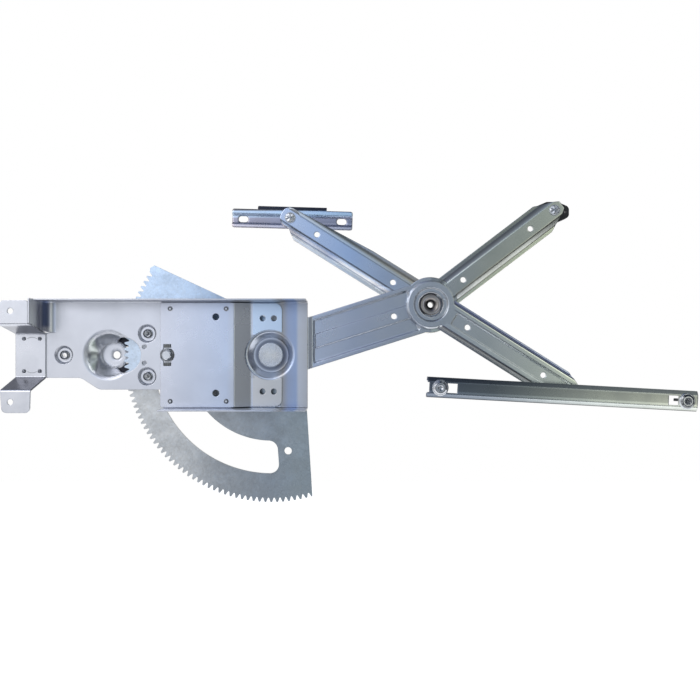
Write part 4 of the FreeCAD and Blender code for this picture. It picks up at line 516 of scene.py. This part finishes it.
class REGULATOR_OT_arms(bpy.types.Operator):
    """Finish the arms, the glass bracket and the guide rail"""
    bl_idname = "regulator.arms"
    bl_label = "Arms and Rail"

    def execute(self, context):
        plan = context.scene.regulator_finish
        arm, rail = plan.arm_colour, plan.rail_colour
        plain, green = (0.98, 1.0, 1.02), (1.0, 1.0, 0.87)
        hub = middle("scissor_rivet")[0]
        # Deep-drawn sheet, zinc plated and blue passivated. Painted reflections give it a cool cast that
        # turns greener to the right, and painted light and shade draw its lips and flanks as thin light
        # and dark lines along the arm.
        paint(["lift_arm"],
              zinc("Blue passivated zinc on the lift arm", arm, darker(arm, 0.9), 0.24, cloud_mm=30,
                   edge_mm=1.4, fold=(hub, 25, LIFT_SLOPE, hub[0], [
                       (-17.4, (1.35, 1.35, 1.2), 0), (-14.4, (1.4, 1.4, 1.2), 0), (-13.4, 0.4, 0),
                       (-12.4, 1.0, 0), (-10, 0.7, 0), (-8.4, 0.25, 0), (-7.4, 0.9, 0), (7.0, 0.9, 0),
                       (7.8, (1.45, 1.45, 1.3), 0), (8.8, 1.0, 0), (10.5, 0.62, 0), (13, 0.35, 0),
                       (14.4, 0.55, 0), (17.4, 0.7, 0)]),
                   tones=[("X", [(150, (0.95, 1.0, 1.1)), (260, (0.9, 0.93, 1.0)), (330, plain),
                                 (400, green), (480, (1.0, 1.01, 0.88))])]))
        # The same finish on the rear arm: its raised lips carry warm painted highlights, its upper flank
        # is leaned round and painted from light to shade, and a painted blue reflection lies along it.
        paint(["equalizer_arm_rear"],
              zinc("Blue passivated zinc on the rear arm", arm, darker(arm, 0.92), 0.24, cloud_mm=30,
                   edge_mm=1.2, fold=(hub, 22, EQUALIZER_SLOPE, 0, [
                       (-16.4, (1.6, 1.35, 1.05), 0), (-14.6, (1.6, 1.4, 1.1), 0), (-13.4, 0.45, 0),
                       (-12.3, (1.5, 1.25, 1.0), 0), (-11, (1.4, 1.2, 1.0), 0), (-9.1, 0.85, 0),
                       (-7.4, 0.2, 0), (-6.0, 1.0, 0), (6.8, 1.0, 0), (7.6, 0.6, -0.35),
                       (8.8, (1.25, 1.15, 0.95), -0.58), (10.4, (1.2, 1.05, 0.85), -0.52),
                       (11.6, (0.9, 0.8, 0.65), -0.4), (13.8, (0.6, 0.52, 0.42), -0.1),
                       (18.4, (1.1, 0.95, 0.8), 0)]),
                   tones=[("X", [(170, (0.92, 1.0, 1.15)), (250, (0.84, 1.02, 1.3)), (338, plain)])]))
        # The same finish on the front arm: painted light brightens it towards its end, and painted shade
        # darkens its lower flank.
        paint(["equalizer_arm_front"],
              zinc("Blue passivated zinc on the front arm", arm, darker(arm, 0.92), 0.24, cloud_mm=30,
                   edge_mm=1.2, fold=(hub, 25, EQUALIZER_SLOPE, 0, [
                       (-24, 0.7, 0), (-17, 0.55, 0), (-15.6, 0.42, 0), (-14.3, 0.22, 0),
                       (-13.4, 0.16, 0), (-12.5, 0.45, 0), (-11.6, 1.1, 0), (-8.2, 1.15, 0),
                       (-7.6, 1.0, 0), (7.6, 1.0, 0), (8.2, 0.5, 0), (9.2, 1.1, 0),
                       (12.6, (1.12, 1.1, 0.98), 0), (13.6, (0.5, 0.52, 0.7), 0),
                       (17, (0.6, 0.62, 0.85), 0), (19, 0.9, 0)]),
                   tones=[("X", [(310, (0.98, 1.0, 1.04)), (350, (0.96, 0.98, 1.0)),
                                 (420, (1.08, 1.1, 1.06)), (500, (1.3, 1.34, 1.2))])]))
        # Folded strip, zinc plated and blue passivated: painted bands of warm and cool light and of shade
        # over its folds, and a painted reflection that turns it bluer to the right.
        paint(["glass_bracket"],
              zinc("Blue passivated zinc on folded steel", arm, darker(arm, 0.9), 0.24, cloud_mm=30,
                   edge_mm=2.5, tones=[("X", [(120, (0.95, 1.0, 1.12)), (260, (0.85, 1.0, 1.25))]),
                                       ("Z", [(138, (1.15, 0.95, 0.82)), (143, (1.1, 0.92, 0.82)),
                                              (146, (0.6, 0.52, 0.5)), (151, (0.72, 0.62, 0.6)),
                                              (153.5, (1.15, 1.25, 1.25)), (158, (1.1, 1.2, 1.2)),
                                              (159.6, (0.3, 0.26, 0.22)), (168, (0.3, 0.26, 0.22))])]))
        # Roll-formed channel with dull acid zinc: greyer, brushed lengthways by the rolls, and painted
        # darker to the left as a reflection of the dim side of the room, with lines of painted light and
        # shade along it.
        paint(["guide_rail"],
              zinc("Dull zinc on rolled steel", rail, darker(rail, 0.9), 0.28, cloud_mm=30, edge_mm=1.6,
                   brush=0.02, fold=(LEFT_RAIL_NUT, 0, RAIL_SLOPE, 0, [
                       (-10.7, 0.2, 0), (-10.1, 0.25, 0), (-9.6, 0.85, 0), (-7, 1.25, 0), (-4, 1.4, 0),
                       (-2.8, 0.82, 0), (4.5, 0.7, 0), (5.6, 0.8, 0), (10.7, 0.7, 0)]),
                   tones=[("X", [(330, (0.34, 0.38, 0.47)), (400, (0.42, 0.46, 0.52)),
                                 (500, (0.96, 0.99, 0.95)), (620, (1.15, 1.15, 1.05))])]))
        return {"FINISHED"}


class REGULATOR_OT_sector(bpy.types.Operator):
    """Finish the toothed sector"""
    bl_idname = "regulator.sector"
    bl_label = "Sector"

    def execute(self, context):
        colour = context.scene.regulator_finish.sector_colour
        # Blanked from hot-dip galvanised sheet and left as it came: satin grey with spangle, crystals
        # about
        # 2 mm wide. Painted reflections make it warm on the left, darker to the right, and bluish at the
        # top and behind the pinion dish.
        paint(["sector_gear"],
              zinc("Spangled hot-dip zinc sheet", colour, darker(colour, 0.85), 0.32, cloud_mm=18,
                   spangle_mm=2.2, edge_mm=0.2,
                   tones=[("X", [(30, (1.06, 1.04, 0.99)), (75, (1.04, 1.02, 0.97)),
                                 (110, (0.7, 0.71, 0.7)), (165, (0.62, 0.66, 0.68)),
                                 (196, (0.7, 0.76, 0.76))]),
                          ("Z", [(-140, WHITE), (20, WHITE), (45, (0.86, 1.02, 1.24)),
                                 (90, (0.88, 1.05, 1.3))])],
                   round_tints=[((12, 0), 17, 3, linear("#CBE4FF"), 0.5)]))
        return {"FINISHED"}


class REGULATOR_OT_fasteners(bpy.types.Operator):
    """Finish the fasteners and add the staked heads, the hub's rings and the lift arm's root corner"""
    bl_idname = "regulator.fasteners"
    bl_label = "Fasteners"

    def execute(self, context):
        plan = context.scene.regulator_finish
        light, shade = plan.arm_colour, darker(plan.arm_colour, 0.85)
        black, ring_shade = linear("#16171A"), linear("#33363C")
        # Turned and cold-headed steel, barrel plated with bright zinc: even, with small soft glints.
        paint(["pivot_washer", "sector_rivets", "lift_stud", "hub_washers", "bracket_stud", "rail_stud",
               "rail_nuts", "stop_stud"],
              zinc("Bright zinc on turned steel", light, shade, 0.24, cloud_mm=12, grain_mm=0.6))
        # Turned and tapped nuts, bright zinc plated: sharp glints, and pale bores, painted white as the
        # light beyond them.
        bores = [(place, 2.4, 0.2, WHITE, 1.0) for place in MOTOR_NUTS]
        paint(["motor_nuts"], zinc("Bright zinc in threaded nuts", light, shade, 0.14, cloud_mm=6,
                                   round_tints=bores, crease=0.2))
        # A cold-headed pin, faced on a lathe and bright zinc plated: fine rings round a light middle.
        pivot = middle("main_pivot_pin")[0]
        paint(["main_pivot_pin"],
              zinc("Bright zinc on a faced pin head", light, shade, 0.26, cloud_mm=9, grain_mm=0.6,
                   lathe=(pivot, 0.8, 0.012), round_tints=[(pivot, 2, 9, linear("#E8E6DE"), 0.5)]))
        # Steel rivets, set and bright zinc plated: a ring of painted shade round a light head.
        round_tints = [(place, 1.9, 0.4, ring_shade, 0.9) for place in PANEL_RIVETS]
        round_tints += [(place, 0.9, 0.4, light, 0.9) for place in PANEL_RIVETS]
        paint(["panel_rivets"], zinc("Bright zinc on set rivets", light, shade, 0.3, round_tints=round_tints))
        # Turned rivet and bush, zinc plated and yellow passivated: brownish, with wide rings, and painted
        # black towards the bore as the shade in its sink.
        hub = middle("scissor_rivet")[0]
        paint(["scissor_rivet", "pivot_bush"],
              zinc("Yellow passivated zinc", plan.rivet_colour, darker(plan.rivet_colour, 0.8), 0.3,
                   cloud_mm=8, grain_mm=0.6, lathe=(hub, 3.2, 0.08),
                   round_tints=[(hub, 4.4, 3.0, black, 0.95)]))
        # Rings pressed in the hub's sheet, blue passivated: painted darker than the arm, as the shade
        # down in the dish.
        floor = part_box("scissor_rivet")[0].y / MM + RING_DEPTH
        half_width, rise, foot = 0.6, 0.45, 0.5
        rings = [[(radius - half_width, floor + foot), (radius - half_width, floor),
                  (radius, floor - rise), (radius + half_width, floor),
                  (radius + half_width, floor + foot)] for radius in (13.3, 17.4)]
        skin("hub_rings", [turned(hub, ring) for ring in rings],
             zinc("Blue passivated zinc on pressed rings", darker(light, 0.8), darker(light, 0.6), 0.22,
                  cloud_mm=12), "equalizer")
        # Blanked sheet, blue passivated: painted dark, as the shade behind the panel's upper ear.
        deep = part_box("sector_gear")[0].y / MM + 1.4
        skin("lift_root_corner", [bar((158, deep, 33), (176, deep, 41), half_width=4.6, half_depth=0.9)],
             zinc("Zinc in the shade of the panel", darker(light, 0.6), darker(light, 0.45), 0.4,
                  cloud_mm=9), "lift")
        # Stud heads staked with a star punch, bright zinc: matt, with a bluish dent in the middle.
        rim = 5.4
        star = [(0, -0.9), (1.8, -0.9), (3.4, -0.55), (4.6, -0.5), (rim, 0.1), (rim, 0.3), (0, 0.3)]
        for name, node, body in (("bracket_stud_stake", "bracket_stud", "equalizer"),
                                 ("lift_stud_stake", "lift_stud", "lift")):
            place, front = middle(node)
            loop = [(radius, front + depth) for radius, depth in star]
            stake = zinc("Bright zinc on a staked head", light, shade, 0.36, cloud_mm=4,
                         round_tints=[(place, 1.2, 1.4, linear("#6A7686"), 0.6)])
            skin(name, [turned(place, loop, lobes=(5, 0.3, 0.8, rim))], stake, body)
        return {"FINISHED"}


class REGULATOR_OT_base_fittings(bpy.types.Operator):
    """Add the motor nut collars, the dish's lips, the bayonet fittings and the clinch marks"""
    bl_idname = "regulator.base_fittings"
    bl_label = "Base Fittings"

    def execute(self, context):
        light = context.scene.regulator_finish.arm_colour
        shade, ring_shade = darker(light, 0.85), linear("#33363C")
        # Collars pressed round the nuts, bright zinc: a light ring inside a ring of painted shade.
        front = middle("motor_nuts")[1]
        collar = [(2.4, front + 0.4), (2.4, front - 0.5), (3.0, front - 0.7), (3.4, front - 0.2),
                  (3.9, front - 0.2), (4.3, front - 0.6), (4.9, front - 0.3), (5.0, front + 0.4)]
        rings = [(place, 4.4, 0.3, ring_shade, 0.9) for place in MOTOR_NUTS]
        rings += [(place, 3.3, 0.3, light, 0.9) for place in MOTOR_NUTS]
        skin("motor_nut_collars", [turned(place, collar) for place in MOTOR_NUTS],
             zinc("Bright zinc on pressed nuts", light, shade, 0.26, cloud_mm=6, round_tints=rings), "base")
        # Blanked sheet, blue passivated: painted nearly black in front, as the dish's shade between the
        # teeth, and plain behind.
        deep, height, shaded = 0.6, 15.0, (0.06, 0.06, 0.07)
        lips = [bar((1.0, deep, z), (15.0, deep, z), half_width=6.0, half_depth=0.55)
                for z in (height, -height)]
        skin("dish_lips", lips,
             zinc("Zinc in the shade behind the teeth", light, shade, 0.4, cloud_mm=14,
                  tones=[("Y", [(0, shaded), (0.75, shaded), (1.0, WHITE)])]), "base")
        # Tabs cut and bent from the panel, bright zinc: dark, with ridges left by the tool.
        stop = middle("stop_stud")[0]
        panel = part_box("pivot_panel")[0].y / MM
        reach, sunk, height = 3.6, 0.3, 9.6
        tabs = [bar((stop[0] - reach, panel + sunk, z), (stop[0] + reach, panel + sunk, z),
                    half_width=1.9, half_depth=0.7, ridges=4) for z in (height, -height)]
        skin("bayonet_tabs", tabs, zinc("Dull zinc on bayonet tabs", darker(light, 0.3),
                                        darker(light, 0.2), 0.3, cloud_mm=4), "base")
        # A turned collar, bright zinc: a mid-grey ring with a sharp glint.
        ring = [(5.4, panel + 0.4), (5.6, panel - 0.5), (6.4, panel - 0.7), (7.1, panel - 0.3),
                (7.2, panel + 0.4)]
        skin("bayonet_ring", [turned(stop, ring)],
             zinc("Zinc on a turned collar", darker(light, 0.5), darker(light, 0.35), 0.2, cloud_mm=5),
             "base")
        # Clinched sheet: zinc squeezed thin by the punch, grey and matt, in a raised three-sided button.
        # The arcs between the marks are pressed up, catch less light than the plate, and carry painted
        # shade for it.
        plate = middle("bracket_rivets")[1]
        low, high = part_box("bracket_rivets")
        inset, button, gap, bulge = 3.4, 1.8, 2.6, 1.6
        lines = [low.x / MM + inset, high.x / MM - inset]
        loop = [(0, plate - 0.1), (button / 2, plate - 0.15), (button, plate + 0.6),
                (button, plate + 1.4), (0, plate + 1.4)]
        marks = [turned((x, side * CLINCH_ROW), loop, lobes=(3, 0.3, 0.4, button), steps=48)
                 for side in (1, -1) for x in lines]
        share = np.linspace(0, 1, 17)
        arc_x = lines[0] + gap + share * (lines[1] - lines[0] - 2 * gap)
        depth = np.full(len(share), plate + 0.85)
        arcs = [bead(np.stack([arc_x, depth, side * (CLINCH_ROW + bulge * np.sin(math.pi * share))],
                              axis=-1), 0.35) for side in (1, -1)]
        skin("clinch_marks", marks,
             zinc("Dark clinched zinc", linear("#A4A7AF"), linear("#7C7F87"), 0.45, cloud_mm=2), "base",
             ["bracket_rivets"])
        skin("clinch_arcs", arcs, zinc("Zinc on raised arcs", darker(light, 0.5), darker(light, 0.4), 0.3,
                                       cloud_mm=3), "base")
        return {"FINISHED"}


class REGULATOR_OT_rail_nut_caps(bpy.types.Operator):
    """Add the ringed caps of the rail nuts and the tab beside the right one"""
    bl_idname = "regulator.rail_nut_caps"
    bl_label = "Rail Nut Caps"

    def execute(self, context):
        light = context.scene.regulator_finish.arm_colour
        low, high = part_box("rail_nuts")
        front, reach = low.y / MM, 8.6
        places = [(low.x / MM + reach, high.z / MM - reach), (high.x / MM - reach, low.z / MM + reach)]
        loop = [(0, 1.6), (0.9, 1.4), (1.4, 0.6), (2.2, 0.4), (3.0, -0.5), (3.7, -0.5), (4.2, 0.9),
                (4.8, 1.1), (5.4, -0.1), (6.2, 0.5), (8.2, 2.4), (8.2, 2.7), (0, 2.7)]
        # Turned flange nuts, bright zinc: sharp rings of light on the left one, and the right one dark
        # and notched round its face. The tab beside it is dark too.
        bright = zinc("Bright zinc on a ringed nut", light, darker(light, 0.7), 0.16, cloud_mm=3)
        dark = zinc("Dark zinc on a ringed nut", darker(light, 0.45), darker(light, 0.2), 0.2,
                    cloud_mm=2)
        for name, place, lobes, metal in (("left_nut_cap", places[0], (0, 0, 0, 1), bright),
                                          ("right_nut_cap", places[1], (7, 0.6, 1.0, 7.5), dark)):
            rings = [(radius, front + depth) for radius, depth in loop]
            skin(name, [turned(place, rings, lobes)], metal, "rail")
        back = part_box("guide_rail")[1].y / MM - 1.0
        edge, height = places[1][0] - reach, places[1][1]
        skin("nut_tab", [bar((edge - 1.4, back, height + 0.9), (edge + 4.6, back, height + 0.6),
                             half_width=1.5, half_depth=0.6)], dark, "rail")
        return {"FINISHED"}


class REGULATOR_OT_plastics(bpy.types.Operator):
    """Finish the shoes, the glass bush and the stop bumper"""
    bl_idname = "regulator.plastics"
    bl_label = "Plastics"

    def execute(self, context):
        black = context.scene.regulator_finish.plastic_colour
        # Acetal, injection moulded: black with a satin sheen. The mould's eroded grain is drawn 0.5 mm
        # wide, some five times the real one, so that it shows.
        paint(["lift_shoe", "rail_shoe", "glass_bush"], plastic("Black acetal", black, 0.4, 0.5))
        # Rubber, compression moulded: black and matt, with a coarser grain.
        paint(["stop_bumper"], plastic("Black rubber", black, 0.7, 0.8))
        return {"FINISHED"}


def white_seen(name, colour, seen):
    """Diffuse white with a glow that only the camera, reflections and glass see, so that to them it is
    full white where no shadow falls."""
    material, tree = new_material(name)
    path = add(tree, "ShaderNodeLightPath")
    seen_by = path.outputs["Is Camera Ray"]
    for ray in ("Is Glossy Ray", "Is Transmission Ray"):
        seen_by = add(tree, "ShaderNodeMath", {"operation": "MAXIMUM"}, _0=seen_by,
                      _1=path.outputs[ray]).outputs[0]
    strength = add(tree, "ShaderNodeMath", {"operation": "MULTIPLY"}, _0=seen_by, _1=seen).outputs[0]
    glow = add(tree, "ShaderNodeEmission", Color=WHITE, Strength=strength)
    matte = add(tree, "ShaderNodeBsdfDiffuse", Color=colour)
    both = add(tree, "ShaderNodeAddShader", _0=matte.outputs[0], _1=glow.outputs[0])
    add(tree, "ShaderNodeOutputMaterial", Surface=both.outputs[0])
    return material


def flat_mesh(name, corners, material):
    """One quad through four corners."""
    mesh = bpy.data.meshes.new(name)
    mesh.from_pydata([tuple(c) for c in corners], [], [(0, 1, 2, 3)])
    mesh.materials.append(material)
    piece = bpy.data.objects.new(name, mesh)
    bpy.context.scene.collection.objects.link(piece)


def lamp(name, place, target, size, power, colour):
    """Soft square lamp that looks at a point."""
    data = bpy.data.lights.new(name, "AREA")
    data.size = size
    data.energy = power
    data.color = colour
    piece = bpy.data.objects.new(name, data)
    piece.location = place
    piece.rotation_euler = (Vector(target) - Vector(place)).to_track_quat("-Z", "Y").to_euler()
    bpy.context.scene.collection.objects.link(piece)


def studio_world():
    """Soft studio by direction: a pale cool wall on the left, a dim side with one bright strip on the
    right, light above, and the white background, which the camera sees everywhere and metal sees
    behind the object. Each side's and height's light is (share from -1 to 1 of that axis, colour)."""
    sides = [(0.0, (0.8, 0.8, 0.82)), (0.2, (1.02, 1.02, 1.02)), (0.35, (1.0, 1.0, 1.04)),
             (0.41, (0.82, 0.9, 1.04)), (0.455, (0.64, 0.74, 0.92)), (0.49, (0.26, 0.31, 0.41)),
             (0.6, (0.23, 0.26, 0.27)), (0.65, (0.3, 0.33, 0.31)), (0.69, (0.95, 0.96, 0.84)),
             (0.77, (0.95, 0.96, 0.9)), (0.81, (0.3, 0.32, 0.35)), (0.87, (0.14, 0.15, 0.17)),
             (1.0, (0.1, 0.1, 0.12))]
    heights = [(0.0, (1.0, 1.0, 1.0)), (0.1, (0.9, 0.9, 0.9)), (0.17, (0.22, 0.23, 0.26)),
               (0.37, (0.3, 0.32, 0.36)), (0.41, (1.0, 0.99, 0.96)), (0.59, (0.97, 1.0, 1.05)),
               (0.66, (1.5, 1.55, 1.6)), (0.72, (1.2, 1.2, 1.25)), (0.8, (0.3, 0.33, 0.4)),
               (1.0, (0.25, 0.28, 0.36))]
    backdrop = (0.75, 0.75, 0.76)
    world = bpy.data.worlds.new("Studio")
    world.use_nodes = True
    tree = world.node_tree
    tree.nodes.clear()
    way = add(tree, "ShaderNodeSeparateXYZ",
              Vector=add(tree, "ShaderNodeTexCoord").outputs["Generated"])
    lights = []
    for axis, stops in (("X", sides), ("Z", heights)):
        share = add(tree, "ShaderNodeMapRange", Value=way.outputs[axis], From_Min=-1.0, From_Max=1.0)
        lights.append(add(tree, "ShaderNodeValToRGB", stops=stops,
                          Fac=share.outputs["Result"]).outputs["Color"])
    both = add(tree, "ShaderNodeMix", TINT, _0=1.0, _6=lights[0], _7=lights[1])
    behind = add(tree, "ShaderNodeMapRange", SOFT, Value=way.outputs["Y"], From_Min=0.7, From_Max=0.9)
    around = add(tree, "ShaderNodeMix", COVER, _0=behind.outputs["Result"], _6=both.outputs[2],
                 _7=backdrop)
    seen = add(tree, "ShaderNodeMix", COVER,
               _0=add(tree, "ShaderNodeLightPath").outputs["Is Camera Ray"], _6=around.outputs[2],
               _7=WHITE)
    back = add(tree, "ShaderNodeBackground", Color=seen.outputs[2], Strength=1.0)
    add(tree, "ShaderNodeOutputWorld", Surface=back.outputs[0])
    bpy.context.scene.world = world


class REGULATOR_OT_stage(bpy.types.Operator):
    """Add the floor, lamps and camera"""
    bl_idname = "regulator.stage"
    bl_label = "Stage"

    def execute(self, context):
        plan = context.scene.regulator_stage
        low = FULL_BOX[0][2] - plan.floor_drop
        # Paper, uncoated and matt: pale, with the object's soft shadow.
        white = white_seen("Matte white paper", linear("#EAEAEA"), 0.85)
        left, right, front, back = plan.floor_edges
        flat_mesh("floor", [(left, front, low), (right, front, low), (right, back, low),
                            (left, back, low)], white)
        studio_world()
        lamp("key", place=(-0.9, -1.3, 1.0), target=(0.2, 0, 0), size=1.2, power=7,
             colour=(1.0, 0.99, 1.0))
        data = bpy.data.cameras.new("camera")
        data.lens = plan.lens
        data.sensor_width = SENSOR_WIDTH
        camera = bpy.data.objects.new("camera", data)
        camera.location = (CAMERA_X, BASE_FRONT - plan.distance, CAMERA_Z)
        camera.rotation_euler = Euler((math.radians(90), 0, 0))
        bpy.context.scene.collection.objects.link(camera)
        context.scene.camera = camera
        context.scene.view_settings.view_transform = "Standard"
        return {"FINISHED"}


class REGULATOR_PT_panel(bpy.types.Panel):
    """Sidebar list of the regulator's operators"""
    bl_idname = "REGULATOR_PT_panel"
    bl_label = "Window Regulator"
    bl_space_type = "VIEW_3D"
    bl_region_type = "UI"
    bl_category = "Regulator"

    def draw(self, context):
        for group in (context.scene.regulator_finish, context.scene.regulator_stage):
            for name in group.__annotations__:
                self.layout.prop(group, name)
        for operator in OPERATORS:
            self.layout.operator(operator.bl_idname)


OPERATORS = (REGULATOR_OT_sheet, REGULATOR_OT_arms, REGULATOR_OT_sector, REGULATOR_OT_fasteners,
             REGULATOR_OT_base_fittings, REGULATOR_OT_rail_nut_caps, REGULATOR_OT_plastics,
             REGULATOR_OT_stage)
CLASSES = (FinishPlan, StagePlan, *OPERATORS, REGULATOR_PT_panel)


def register():
    for item in CLASSES:
        bpy.utils.register_class(item)
    bpy.types.Scene.regulator_finish = bpy.props.PointerProperty(type=FinishPlan)
    bpy.types.Scene.regulator_stage = bpy.props.PointerProperty(type=StagePlan)


def unregister():
    del bpy.types.Scene.regulator_finish
    del bpy.types.Scene.regulator_stage
    for item in reversed(CLASSES):
        bpy.utils.unregister_class(item)


def main():
    """Run every operator in order."""
    register()
    bpy.ops.regulator.sheet()
    bpy.ops.regulator.arms()
    bpy.ops.regulator.sector()
    bpy.ops.regulator.fasteners()
    bpy.ops.regulator.base_fittings()
    bpy.ops.regulator.rail_nut_caps()
    bpy.ops.regulator.plastics()
    bpy.ops.regulator.stage()


if __name__ == "__main__":
    main()
